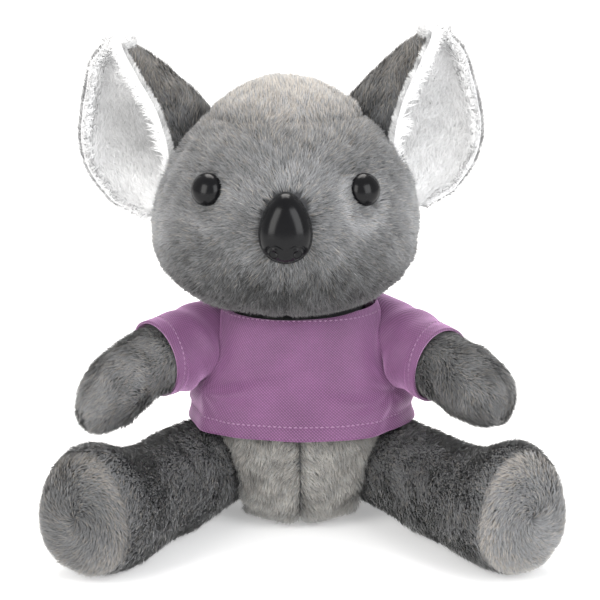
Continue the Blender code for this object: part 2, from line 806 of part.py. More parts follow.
def build_torso(shop, root, cutters, floor):
    """Builds the torso's two belly panels, its back panel and its fill."""
    low = Vector((-0.5 * TORSO_WIDTH, -TORSO_FRONT, -SEAT_FLAT))
    high = Vector((0.5 * TORSO_WIDTH, TORSO_BACK, NECK_HEIGHT + TORSO_UNDER_HEAD))
    form = SoftForm(shop, "torso", TORSO_RING_SHARES, LARGE_SIDES, low, high, root)
    half_gap = 0.5 * SEAM_GAP
    seam = TORSO_SIDE_SEAM_BACK
    left = region(shop, "belly_left_side", root, high=(-half_gap, seam - half_gap, None))
    right = region(shop, "belly_right_side", root, (half_gap, None, None), (None, seam - half_gap, None))
    behind = region(shop, "torso_back_side", root, low=(None, seam + half_gap, None))
    parts = (
        form.panel("belly_panel_left", "pale_fur", left),
        form.panel("belly_panel_right", "pale_fur", right),
        form.panel("torso_back_panel", "grey_fur", behind),
        form.fill("torso_fill"),
    )
    for part in parts:
        cut_thin(part, *cutters)
    for part in parts[:-1]:
        cut_thin(part, floor)
    return form


def flare(mesh, from_height, to_height, by, folds):
    """Widens a form below a height, in soft folds that grow towards the hem."""
    for vertex in mesh.vertices:
        share = (from_height - vertex.co.z) / (from_height - to_height)
        share = min(max(share, 0.0), 1.0) ** 2
        angle = math.atan2(vertex.co.y, vertex.co.x)
        move = share * (by + folds * math.cos(HEM_FOLD_COUNT * angle))
        vertex.co.x += move * math.cos(angle)
        vertex.co.y += move * math.sin(angle)


def build_shirt(shop, root, torso_form, cutters):
    """Builds the shirt's front and back: one cloth, flared at the hem, open at neck, arms and foot."""
    waist = SHIRT_HEM_HEIGHT + SHIRT_FLARE_LENGTH
    shapes = []
    for use, grown in (("shirt_outer", SHIRT_EASE + SHIRT_CLOTH), ("shirt_inner", SHIRT_EASE)):
        mesh = torso_form.mesh(use, grown)
        flare(mesh, waist, SHIRT_HEM_HEIGHT, SHIRT_FLARE, HEM_FOLD)
        shapes.append(mesh)
    inside = shop.cutter("shirt_inside", shapes[1], root)
    smooth(inside, 1)
    half_gap = 0.5 * SEAM_GAP
    seam = SHIRT_SIDE_SEAM_BACK
    neck_hole = neck_hole_cutter(shop, root)
    sides = (
        ("shirt_front", (None, None, SHIRT_HEM_HEIGHT), (None, seam - half_gap, None)),
        ("shirt_back", (None, seam + half_gap, SHIRT_HEM_HEIGHT), (None, None, None)),
    )
    for name, low, high in sides:
        obj = shop.part(name, shapes[0].copy(), root, "purple_knit")
        smooth(obj, 1)
        cut(obj, inside)
        keep(obj, region(shop, f"{name}_side", root, low, high))
        cut_thin(obj, neck_hole, *cutters)


def neck_hole_cutter(shop, root):
    """Returns an upright oval post that opens the shirt's neck."""
    bm = bmesh.new()
    size = Matrix.Diagonal((0.5 * NECK_HOLE_WIDTH, 0.5 * NECK_HOLE_DEPTH, 1.0, 1.0))
    place = Matrix.Translation((HEAD_ASIDE * 0.5, 0, NECK_HEIGHT))
    bmesh.ops.create_cone(
        bm,
        cap_ends=True,
        segments=LARGE_SIDES * 2,
        radius1=1.0,
        radius2=1.0,
        depth=2 * CUT_OVERRUN,
        matrix=place @ size,
    )
    return shop.cutter("neck_hole", mesh_of(bm, "neck_hole"), root)


# Limbs


def build_arm(shop, side, shoulder):
    """Builds an arm of two panels and a fill, and its sleeve. Returns what the sleeve sweeps."""
    half = 0.5 * HAND_WIDTH
    low = Vector((-half, -half, -ARM_ROOT))
    high = Vector((half, half, ARM_LENGTH))
    bend = (ARM_BEND_FROM, math.tan(math.radians(ARM_BEND_DEG[side])))
    form = SoftForm(shop, f"arm_{side}", ARM_RING_SHARES, LIMB_SIDES, low, high, shoulder, bend)
    half_gap = 0.5 * SEAM_GAP
    front = region(shop, f"arm_front_side_{side}", shoulder, high=(-half_gap, None, None))
    behind = region(shop, f"arm_back_side_{side}", shoulder, low=(half_gap, None, None))
    form.panel(f"arm_panel_a_{side}", "grey_fur", front)
    form.panel(f"arm_panel_b_{side}", "grey_fur", behind)
    form.fill(f"arm_fill_{side}")
    build_sleeve(shop, side, shoulder)
    swept = swing_sweep_mesh(f"arm_sweep_{side}", SLEEVE_RADIUS + TURN_GAP, ARM_LENGTH, ARM_RAISE_DEG)
    return shop.cutter(f"arm_sweep_{side}", swept, shoulder)


def build_sleeve(shop, side, shoulder):
    """Builds one sleeve: an open tube of cloth round the arm, from inside the armhole to its hem."""
    rings = [
        (along * (SLEEVE_LENGTH + SLEEVE_ROOT) - SLEEVE_ROOT, *(share * SLEEVE_RADIUS for share in shares))
        for along, *shares in SLEEVE_RING_SHARES
    ]
    inner = [(along, *(reach - SHIRT_CLOTH for reach in reaches)) for along, *reaches in rings]
    inner[0] = (inner[0][0] - CUT_OVERRUN, *inner[0][1:])
    inner[-1] = (inner[-1][0] + CUT_OVERRUN, *inner[-1][1:])
    tube = ring_cage(f"sleeve_{side}", rings, LIMB_SIDES * 2)
    bore = shop.cutter(f"sleeve_bore_{side}", ring_cage("sleeve_bore", inner, LIMB_SIDES * 2), shoulder)
    sleeve = shop.part(f"sleeve_{side}", tube, shoulder, "purple_knit")
    cut_thin(sleeve, bore)


def build_leg(shop, side, hip, floor):
    """Builds a leg of two panels, a sole and a fill. Returns what the leg sweeps."""
    half = 0.5 * FOOT_WIDTH
    low = Vector((-half, -HIP_HEIGHT - SEAT_FLAT, -0.5 * LEG_DIAMETER))
    high = Vector((half, FOOT_HEIGHT - HIP_HEIGHT, LEG_LENGTH))
    inner = [LEG_RING_SHARES[row] for row in LEG_INNER_ROWS]
    form = SoftForm(shop, f"leg_{side}", LEG_RING_SHARES, LIMB_SIDES, low, high, hip, inner_shares=inner)
    half_gap = 0.5 * SEAM_GAP
    sole = LEG_LENGTH - SOLE_SEAM_BACK
    one = region(shop, f"leg_side_a_{side}", hip, high=(-half_gap, None, sole - half_gap))
    other = region(shop, f"leg_side_b_{side}", hip, (half_gap, None, None), (None, None, sole - half_gap))
    front = region(shop, f"sole_side_{side}", hip, low=(None, None, sole + half_gap))
    parts = (
        form.panel(f"leg_panel_a_{side}", "grey_fur", one),
        form.panel(f"leg_panel_b_{side}", "grey_fur", other),
        form.panel(f"foot_sole_{side}", "pale_fur", front),
    )
    for part in parts:
        cut_thin(part, floor)
    form.fill(f"leg_fill_{side}")
    reach = 0.5 * LEG_DIAMETER + TURN_GAP
    swept = swing_sweep_mesh(f"leg_sweep_{side}", reach, LEG_LENGTH, LEG_DROP_DEG)
    return shop.cutter(f"leg_sweep_{side}", swept, hip)


# The whole toy


def centre_over_origin(root, shop):
    """Moves the whole toy so that its box stands centred on the origin."""
    bpy.context.view_layer.update()
    corners = []
    for obj in shop.parts.objects:
        if obj.type == "MESH":
            corners += evaluated_box(obj, obj.matrix_world)
    middle_x = 0.5 * (min(c.x for c in corners) + max(c.x for c in corners))
    middle_y = 0.5 * (min(c.y for c in corners) + max(c.y for c in corners))
    root.location = (-middle_x, -middle_y, 0)
    bpy.context.view_layer.update()


def main():
    """Builds the koala from its torso outwards."""
    clear_scene()
    shop = Workshop()
    root = shop.carrier("koala", (0, 0, 0))
    neck = shop.carrier("neck_pivot", (HEAD_ASIDE, -HEAD_FORWARD, NECK_HEIGHT), root)
    head_form, head_parts = build_head(shop, neck)
    bpy.context.view_layer.update()
    build_eye(shop, "left", -EYE_OUT, head_form, head_parts, neck)
    build_eye(shop, "right", EYE_OUT, head_form, head_parts, neck)
    build_nose(shop, head_form, head_parts, neck)
    floor = region(shop, "floor", root, high=(None, None, 0))
    cutters = [turning_head_cutter(shop, head_form, neck)]
    for side, sign in (("left", -1), ("right", 1)):
        build_ear(shop, side, sign, head_form, neck)
        place = (sign * SHOULDER_OUT, -SHOULDER_FORWARD, SHOULDER_HEIGHT)
        ahead, down = (math.radians(angle) for angle in SHOULDER_LEAN_DEG[side])
        reach = Vector((sign * math.cos(ahead), -math.sin(ahead), 0)) * math.cos(down)
        reach.z = -math.sin(down)
        shoulder = shop.carrier(f"shoulder_{side}_pivot", place, root, facing(reach))
        cutters.append(build_arm(shop, side, shoulder))
        spread = math.radians(HIP_SPREAD_DEG[side])
        place = (sign * HIP_OUT, -HIP_FORWARD, HIP_HEIGHT)
        forward = Vector((sign * math.sin(spread), -math.cos(spread), 0))
        hip = shop.carrier(f"hip_{side}_pivot", place, root, facing(forward))
        cutters.append(build_leg(shop, side, hip, floor))
    torso_form = build_torso(shop, root, cutters, floor)
    build_shirt(shop, root, torso_form, cutters)
    centre_over_origin(root, shop)


main()
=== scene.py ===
import json
import logging
import math
from collections.abc import Callable
from dataclasses import dataclass
from enum import Enum
from functools import partial

import bpy
import numpy as np
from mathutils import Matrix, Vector


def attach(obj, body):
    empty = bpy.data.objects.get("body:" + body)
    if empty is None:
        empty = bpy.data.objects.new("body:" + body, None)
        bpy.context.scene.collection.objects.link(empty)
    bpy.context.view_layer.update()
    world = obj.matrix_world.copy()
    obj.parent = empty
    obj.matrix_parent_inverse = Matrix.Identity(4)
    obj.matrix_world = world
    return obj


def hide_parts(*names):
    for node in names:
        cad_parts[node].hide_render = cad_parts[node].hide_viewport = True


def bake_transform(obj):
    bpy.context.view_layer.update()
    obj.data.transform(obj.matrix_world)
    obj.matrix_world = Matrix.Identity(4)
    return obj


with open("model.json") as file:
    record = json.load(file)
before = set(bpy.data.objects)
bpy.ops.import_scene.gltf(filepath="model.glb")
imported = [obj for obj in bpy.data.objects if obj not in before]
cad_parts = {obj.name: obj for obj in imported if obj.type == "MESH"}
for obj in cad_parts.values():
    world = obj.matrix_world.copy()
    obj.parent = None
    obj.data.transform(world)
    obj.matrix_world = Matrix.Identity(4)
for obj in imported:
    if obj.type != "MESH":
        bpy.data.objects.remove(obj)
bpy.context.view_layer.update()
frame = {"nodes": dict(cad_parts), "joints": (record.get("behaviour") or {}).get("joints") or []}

# A seated plush koala in a T-shirt: stuffed skins of fur cloth, each with a cut pile of real strands, cup
# ears, glossy snap-in eyes and nose, and a knitted shirt. Metres, +Z up. The toy looks along -Y. Left and
# right are the viewer's.

Array = np.ndarray
LOG = logging.getLogger("koala")
TAU = 2.0 * math.pi
MM = 0.001
PATTERN_MAP = "OFBake"
WHITE = (1.0, 1.0, 1.0, 1.0)

# How much of the knit the pattern map's unit square holds.
CLOTH_UNIT = 0.25

# Where the neck's joint and the picture's middle lie from the middle of the torso's bottom.
NECK = np.array([-0.005, -0.005, 0.079])
AIM = np.array([0.0, -0.020, 0.082])

# How far the floor goes from the middle.
FLOOR_REACH = 6.0

# Added to a distance, it puts a place out of every bell's reach.
FAR = 1.0

# How much smaller than its form a skin starts, beside the pile's depth, and the lowest that it reaches.
SWELL_ROOM = 1.0 * MM
SKIN_FLOOR = 0.8 * MM

# How far the fur cloth's face lies ahead of the middle of the washer behind it.
WASHER_TO_CLOTH = 3.05 * MM


class Side(Enum):
    """The viewer's left or right side of the toy."""

    LEFT = "left"
    RIGHT = "right"

    @property
    def sign(self) -> float:
        """-1 for left and +1 for right, as along X."""
        return -1.0 if self is Side.LEFT else 1.0


# Numbers on arrays


def unit(vectors: Array) -> Array:
    """Returns vectors of length one: v / |v|."""
    return vectors / np.maximum(np.linalg.norm(vectors, axis=-1, keepdims=True), 1e-12)


def ease(values: Array, low: float, high: float) -> Array:
    """Returns 0 below low, 1 above high, and 3t^2 - 2t^3 between, where t runs from low to high."""
    t = np.clip((values - low) / (high - low), 0.0, 1.0)
    return t * t * (3.0 - 2.0 * t)


def bell(distance: Array, width: float) -> Array:
    """Returns exp(-(d / width)^2)."""
    return np.exp(-((distance / width) ** 2))


def nearness(points: Array, place: Array, width: float) -> Array:
    """Returns the bell of each point's distance to a place."""
    return bell(np.linalg.norm(points - place, axis=-1), width)


def drift(points: Array, wavelength: float, seed: int) -> Array:
    """Returns a soft unevenness of about -1 to 1.

    It is 0.7 times the sum of seven sine waves in seeded directions, of wavelengths within 30% of the
    given one, over the square root of half their number.

    Args:
        points: places, (n, 3), in metres.
        wavelength: the usual distance from crest to crest, in metres.
        seed: which pattern.

    Returns:
        One value a point.
    """
    rng = np.random.default_rng(seed)
    directions = unit(rng.normal(size=(7, 3)))
    rates = TAU / (wavelength * rng.uniform(0.7, 1.3, 7))
    phases = rng.uniform(0.0, TAU, 7)
    return np.sin(points @ (directions * rates[:, None]).T + phases).sum(1) / math.sqrt(3.5) * 0.7


def swirl(points: Array, wavelength: float, seed: int) -> Array:
    """Returns an uneven direction at each point: three drifts, from the seed on, as its X, Y and Z."""
    return np.stack([drift(points, wavelength, seed + k) for k in range(3)], axis=1)


def along_surface(vectors: Array, normals: Array) -> Array:
    """Returns unit vectors laid onto the surface: v - n (v . n), then made one long."""
    return unit(vectors - normals * (vectors * normals).sum(-1, keepdims=True))


@dataclass(frozen=True)
class Seat:
    """Where a part sits: an origin, and the directions of its own X, Y and Z as the rows of turn."""

    origin: Array
    turn: Array

    def world(self, local: Array) -> Array:
        """Returns world points of local ones: x X + y Y + z Z + origin."""
        return local @ self.turn + self.origin

    def local(self, world: Array) -> Array:
        """Returns local points of world ones."""
        return (world - self.origin) @ self.turn.T

    def direction(self, local: Array) -> Array:
        """Returns world directions of local ones."""
        return local @ self.turn


def seat_facing(origin: Array, ahead: Array) -> Seat:
    """Returns a seat whose Z points ahead and whose Y is as upright as it can be.

    Args:
        origin: where it sits.
        ahead: where its Z points.

    Returns:
        The seat.
    """
    z = unit(np.asarray(ahead, float))
    x = unit(np.cross([0.0, 0.0, 1.0], z))
    return Seat(np.asarray(origin, float), np.array([x, np.cross(z, x), z]))


def joint_place(name: str) -> Array:
    """Returns a joint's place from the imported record."""
    return np.array(next(j["pos_m"] for j in frame["joints"] if j["name"] == name))


def node_points(name: str) -> Array:
    """Returns the vertices of a CAD node, (n, 3).

    Args:
        name: the node's name.

    Returns:
        Its vertices, in metres.
    """
    mesh = frame["nodes"][name].data
    found = np.empty(len(mesh.vertices) * 3, np.float32)
    mesh.vertices.foreach_get("co", found)
    return found.reshape(-1, 3).astype(float)


def path_reach(path: Array) -> Array:
    """Returns how far along a path each of its points is."""
    return np.concatenate([[0.0], np.cumsum(np.linalg.norm(np.diff(path, axis=0), axis=1))])


def along_path(path: Array, reach: Array, at: Array, period: float | None = None) -> Array:
    """Returns the points of a path at given distances along it, by straight lines between its own."""
    return np.stack([np.interp(at, reach, column, period=period) for column in path.T], axis=1)


# Meshes from arrays


def add_piece(
    name: str, vertices: Array, faces: list[Array], material: bpy.types.Material
) -> bpy.types.Object:
    """Returns a new smooth-shaded piece at the origin.

    Args:
        name: the piece's name.
        vertices: places, (n, 3).
        faces: one array of vertex numbers for each number of corners, (m, corners).
        material: its finish.

    Returns:
        The object, linked to the scene.
    """
    mesh = bpy.data.meshes.new(name)
    corners = np.concatenate([block.ravel() for block in faces]).astype(np.int32)
    sizes = np.concatenate([np.full(len(block), block.shape[1]) for block in faces])
    starts = np.concatenate([[0], np.cumsum(sizes)[:-1]]).astype(np.int32)
    mesh.vertices.add(len(vertices))
    mesh.loops.add(len(corners))
    mesh.polygons.add(len(sizes))
    mesh.vertices.foreach_set("co", np.ascontiguousarray(vertices, np.float32).ravel())
    mesh.loops.foreach_set("vertex_index", corners)
    mesh.polygons.foreach_set("loop_start", starts)
    mesh.update(calc_edges=True)
    mesh.shade_smooth()
    mesh.materials.append(material)
    piece = bpy.data.objects.new(name, mesh)
    bpy.context.scene.collection.objects.link(piece)
    return piece


def set_map(piece: bpy.types.Object, corners: Array) -> None:
    """Gives a piece its own pattern map, one (u, v) a face corner."""
    layer = piece.data.uv_layers.new(name=PATTERN_MAP)
    layer.uv.foreach_set("vector", np.ascontiguousarray(corners, np.float32).ravel())


def closed_shell(points: Array) -> tuple[Array, list[Array]]:
    """Returns the vertices and faces of a closed surface.

    Args:
        points: a grid, (rows, columns, 3), that goes round with its columns. All of its first row is
            one pole and all of its last row the other.

    Returns:
        The vertices, and its quads and its triangles.
    """
    rows, columns, _ = points.shape
    body = points[1:-1].reshape(-1, 3)
    vertices = np.vstack([body, points[0].mean(0), points[-1].mean(0)])
    index = np.arange(len(body)).reshape(rows - 2, columns)
    beside = np.roll(index, -1, axis=1)
    quads = np.stack([index[:-1], beside[:-1], beside[1:], index[1:]], axis=-1).reshape(-1, 4)
    low = np.full(columns, len(body))
    first = np.stack([low, beside[0], index[0]], axis=-1)
    last = np.stack([low + 1, index[-1], beside[-1]], axis=-1)
    return vertices, [quads, np.vstack([first, last])]


def grid_faces(rows: int, columns: int, wrapped: bool) -> tuple[Array, Array]:
    """Returns the quads of an open grid, and the (column, row) of each of their corners.

    Args:
        rows: rows of points.
        columns: points in a row.
        wrapped: whether the last column joins the first.

    Returns:
        The quads, and their corners' columns and rows, (faces, 4, 2), which count on past a wrap.
    """
    across = columns if wrapped else columns - 1
    row, column = np.meshgrid(np.arange(rows - 1), np.arange(across), indexing="ij")
    corner_rows = np.stack([row, row, row + 1, row + 1], axis=-1).reshape(-1, 4)
    corner_columns = np.stack([column, column + 1, column + 1, column], axis=-1).reshape(-1, 4)
    quads = corner_rows * columns + corner_columns % columns
    return quads, np.stack([corner_columns, corner_rows], axis=-1)


def grid_normals(points: Array, wrapped: bool) -> Array:
    """Returns unit normals of a grid: the cross product of its steps along columns and along rows.

    Args:
        points: the grid, (rows, columns, 3).
        wrapped: whether the last column joins the first.

    Returns:
        The normals, as a grid.
    """
    if wrapped:
        across = np.roll(points, -1, axis=1) - np.roll(points, 1, axis=1)
    else:
        across = np.gradient(points, axis=1)
    return unit(np.cross(across, np.gradient(points, axis=0)))


def shell_normals(points: Array) -> Array:
    """Returns a closed shell's normals as grid_normals does, straight down and up at its two poles.

    Args:
        points: the shell's grid, (rows, columns, 3).

    Returns:
        The normals, as a grid.
    """
    normals = grid_normals(points, True)
    normals[0], normals[-1] = (0.0, 0.0, -1.0), (0.0, 0.0, 1.0)
    return normals


def vertex_arrays(mesh: bpy.types.Mesh) -> tuple[Array, Array, Array]:
    """Returns a mesh's vertices, its vertex normals and its triangles.

    Args:
        mesh: the mesh.

    Returns:
        The three arrays.
    """
    count = len(mesh.vertices)
    places = np.empty(count * 3, np.float32)
    normals = np.empty(count * 3, np.float32)
    mesh.vertices.foreach_get("co", places)
    mesh.vertex_normals.foreach_get("vector", normals)
    mesh.calc_loop_triangles()
    corners = np.empty(len(mesh.loop_triangles) * 3, np.int32)
    mesh.loop_triangles.foreach_get("vertices", corners)
    return places.reshape(-1, 3).astype(float), normals.reshape(-1, 3).astype(float), corners.reshape(-1, 3)


def move_vertices(mesh: bpy.types.Mesh, places: Array) -> None:
    """Puts a mesh's vertices at new places, (n, 3)."""
    mesh.vertices.foreach_set("co", places.astype(np.float32).ravel())
    mesh.update()


def smooth(piece: bpy.types.Object) -> None:
    """Adds a Subdivision Surface of one level, which renders as it shows."""
    modifier = piece.modifiers.new("smooth", "SUBSURF")
    modifier.levels = modifier.render_levels = 1


def thicken(piece: bpy.types.Object, thickness: float, even: bool = True) -> None:
    """Adds a wall inwards from a surface, evenly thick also round its sharp bends unless told otherwise.

    Args:
        piece: the piece.
        thickness: the wall's thickness.
        even: whether it is as thick round sharp bends.
    """
    wall = piece.modifiers.new("wall", "SOLIDIFY")
    wall.thickness = thickness
    wall.offset = -1.0
    wall.use_even_offset = even


# Soft forms


@dataclass(frozen=True)
class RingForm:
    """A stuffed form: rings of unlike half width and reach, along its own Z axis, on one smooth curve.

    Each ring is a share of the form's box: place along it, half width, reach to +Y and reach to -Y. The
    cloth evens them out, so each ring is 3/4 of itself and 1/8 of each neighbour, and a cubic curve runs
    through them from pole to pole. Beyond bend_from the form bends towards -Y by bend_slope.
    """

    shares: tuple[tuple[float, float, float, float], ...]
    low: tuple[float, float, float]
    high: tuple[float, float, float]
    bend_from: float = 1.0
    bend_slope: float = 0.0

    def profile(self, count: int, inset: float = 0.0) -> Array:
        """Returns rows of (along, half width, reach to +Y, reach to -Y), pole to pole, in metres.

        The curve is a cubic Hermite one. Its slope at each ring is the line between its neighbours.

        Args:
            count: how many rows.
            inset: how far the form's box is drawn in on every side.

        Returns:
            The rows, (count, 4).
        """
        rings = np.array(self.shares)
        pole_low, pole_high = rings[0] * [1, 0, 0, 0], rings[-1] * [1, 0, 0, 0]
        rings = np.vstack([pole_low, rings, pole_high])
        evened = rings.copy()
        evened[1:-1] = 0.125 * rings[:-2] + 0.75 * rings[1:-1] + 0.125 * rings[2:]
        mirror = np.array([1.0, -1.0, -1.0, -1.0])
        knots = np.vstack([evened[1] * mirror, evened, evened[-2] * mirror])
        steps = np.sqrt(np.maximum(np.linalg.norm(np.diff(knots, axis=0), axis=1), 1e-9))
        places = np.concatenate([[0.0], np.cumsum(steps)])
        slopes = (knots[2:] - knots[:-2]) / (places[2:] - places[:-2])[:, None]
        knots, places = knots[1:-1], places[1:-1]
        t = np.linspace(places[0], places[-1], count)
        lower = np.clip(np.searchsorted(places, t, side="right") - 1, 0, len(places) - 2)
        span = (places[lower + 1] - places[lower])[:, None]
        s = (t - places[lower])[:, None] / span
        rows = (2 * s**3 - 3 * s**2 + 1) * knots[lower] + (3 * s**2 - 2 * s**3) * knots[lower + 1]
        rows += span * ((s**3 - 2 * s**2 + s) * slopes[lower] + (s**3 - s**2) * slopes[lower + 1])
        return self.fitted(np.maximum(rows, [-1.0, 0.0, 0.0, 0.0]), inset)

    def fitted(self, rows: Array, inset: float) -> Array:
        """Returns rows of shares scaled so that the form fills its box, less the inset.

        Args:
            rows: the profile's rows, as shares.
            inset: how far the box is drawn in.

        Returns:
            The rows in metres.
        """
        low, high = np.array(self.low) + inset, np.array(self.high) - inset
        along = (rows[:, 0] - rows[:, 0].min()) / np.ptp(rows[:, 0])
        wide = rows[:, 1] / rows[:, 1].max()
        plus, minus = rows[:, 2] / rows[:, 2].max(), rows[:, 3] / rows[:, 3].max()
        half = 0.5 * (high[0] - low[0])
        along = low[2] + along * (high[2] - low[2])
        return np.stack([along, wide * half, plus * high[1], -minus * low[1]], axis=1)

    def surface(self, rows: int, columns: int, inset: float = 0.0) -> Array:
        """Returns the form as a grid: x = w(v) cos u, y = r(v) sin u, z = a(v).

        r is the reach to +Y where sin u > 0 and to -Y elsewhere. Then y falls by the bend's slope times
        how far z is beyond the bend.

        Args:
            rows: grid rows, from pole to pole.
            columns: grid columns, once round.
            inset: how far the form is drawn in.

        Returns:
            Points in the form's own frame, (rows, columns, 3).
        """
        return self.rounded(self.profile(rows, inset), columns)

    def rounded(self, profile: Array, columns: int) -> Array:
        """Returns the grid of a profile's rows.

        Args:
            profile: rows of along, half width, reach to +Y and reach to -Y.
            columns: grid columns, once round.

        Returns:
            The grid, (rows, columns, 3).
        """
        angles = TAU * np.arange(columns) / columns
        along, wide, plus, minus = (profile[:, i, None] for i in range(4))
        sine = np.sin(angles)[None, :]
        x = wide * np.cos(angles)[None, :]
        y = np.where(sine > 0, plus, minus) * sine
        z = np.repeat(along, columns, axis=1)
        y = y - np.maximum(z - self.bend_from, 0.0) * self.bend_slope
        return np.stack([x, y, z], axis=-1)


@dataclass(frozen=True)
class SweptRoot:
    """The space that a limb's root turns in: all within a radius of the fan that its middle line sweeps."""

    seat: Seat
    radius: float
    swing: tuple[float, float]
    step: float = 0.025
    most_steps: int = 60

    def distance(self, world: Array) -> Array:
        """Returns each point's distance to the fan, whose rays are (0, sin a, cos a) over the swing.

        Args:
            world: places in the world, (n, 3).

        Returns:
            The distances.
        """
        local = self.seat.local(world)
        angle = np.arctan2(local[:, 1], local[:, 2])
        held = np.clip(angle, math.radians(self.swing[0]), math.radians(self.swing[1]))
        ray = np.stack([np.zeros_like(held), np.sin(held), np.cos(held)], axis=-1)
        reach = np.maximum((local * ray).sum(1), 0.0)[:, None] * ray
        inside = (held == angle)[:, None]
        nearest = np.where(inside, local * [0.0, 1.0, 1.0], reach)
        return np.linalg.norm(local - nearest, axis=1)

    def make_room(self, world: Array, core: Array) -> Array:
        """Returns points drawn step by step towards an upright core line, until they clear the root.

        Args:
            world: places in the world, (n, 3).
            core: where the core line stands.

        Returns:
            The moved points.
        """
        shown = world.copy()
        heart = np.stack([np.full(len(world), core[0]), np.full(len(world), core[1]), world[:, 2]], 1)
        for _ in range(self.most_steps):
            near = self.distance(shown) < self.radius
            if not near.any():
                break
            shown[near] += self.step * (heart - shown)[near]
        return shown


@dataclass(frozen=True)
class Stuffing:
    """Fibre fill that presses a sewn skin outwards, while its seams hold it back."""

    voxel: float = 2.3 * MM
    pressure: float = 4.0
    frames: int = 20
    most: float = 1.3 * MM

    def swell(self, piece: bpy.types.Object, held: Callable[[Array], Array]) -> None:
        """Remeshes a skin evenly and lets the fill swell it, by the most at most.

        Args:
            piece: the skin, which starts a little small.
            held: how firmly the seams hold each point, from 0 to 1.
        """
        remesh = piece.modifiers.new("even", "REMESH")
        remesh.mode = "VOXEL"
        remesh.voxel_size = self.voxel
        self.settle(piece)
        start, _, _ = vertex_arrays(piece.data)
        group = piece.vertex_groups.new(name="seams")
        firm = held(start)
        for index in np.flatnonzero(firm > 0.02):
            group.add([int(index)], float(firm[index]), "REPLACE")
        cloth = piece.modifiers.new("fill", "CLOTH")
        cloth.settings.use_pressure = True
        cloth.settings.uniform_pressure_force = self.pressure
        cloth.settings.effector_weights.gravity = 0.0
        cloth.settings.vertex_group_mass = "seams"
        cloth.settings.quality = 4
        for number in range(1, self.frames + 1):
            bpy.context.scene.frame_set(number)
        self.settle(piece)
        swollen, _, _ = vertex_arrays(piece.data)
        move = swollen - start
        length = np.linalg.norm(move, axis=1, keepdims=True)
        move *= np.minimum(1.0, self.most / np.maximum(length, 1e-9))
        move_vertices(piece.data, start + move)
        bpy.context.scene.frame_set(1)

    def settle(self, piece: bpy.types.Object) -> None:
        """Makes what the modifiers give the piece's own mesh, and drops them.

        Args:
            piece: the piece that has the modifiers.
        """
        graph = bpy.context.evaluated_depsgraph_get()
        old = piece.data
        piece.data = bpy.data.meshes.new_from_object(piece.evaluated_get(graph))
        piece.modifiers.clear()
        bpy.data.meshes.remove(old)
        piece.data.name = piece.name
        piece.data.shade_smooth()


# Pile


@dataclass
class Comb:
    """How the pile lies at each root: its direction, and shares of length, lift, tone and warmth."""

    direction: Array
    length: Array
    lift: Array
    tone: Array
    warmth: Array


# The way that most light leaves deep white pile by: to the front and up, towards the lamps.
SCATTER = np.array([0.0, -0.75, 0.65])


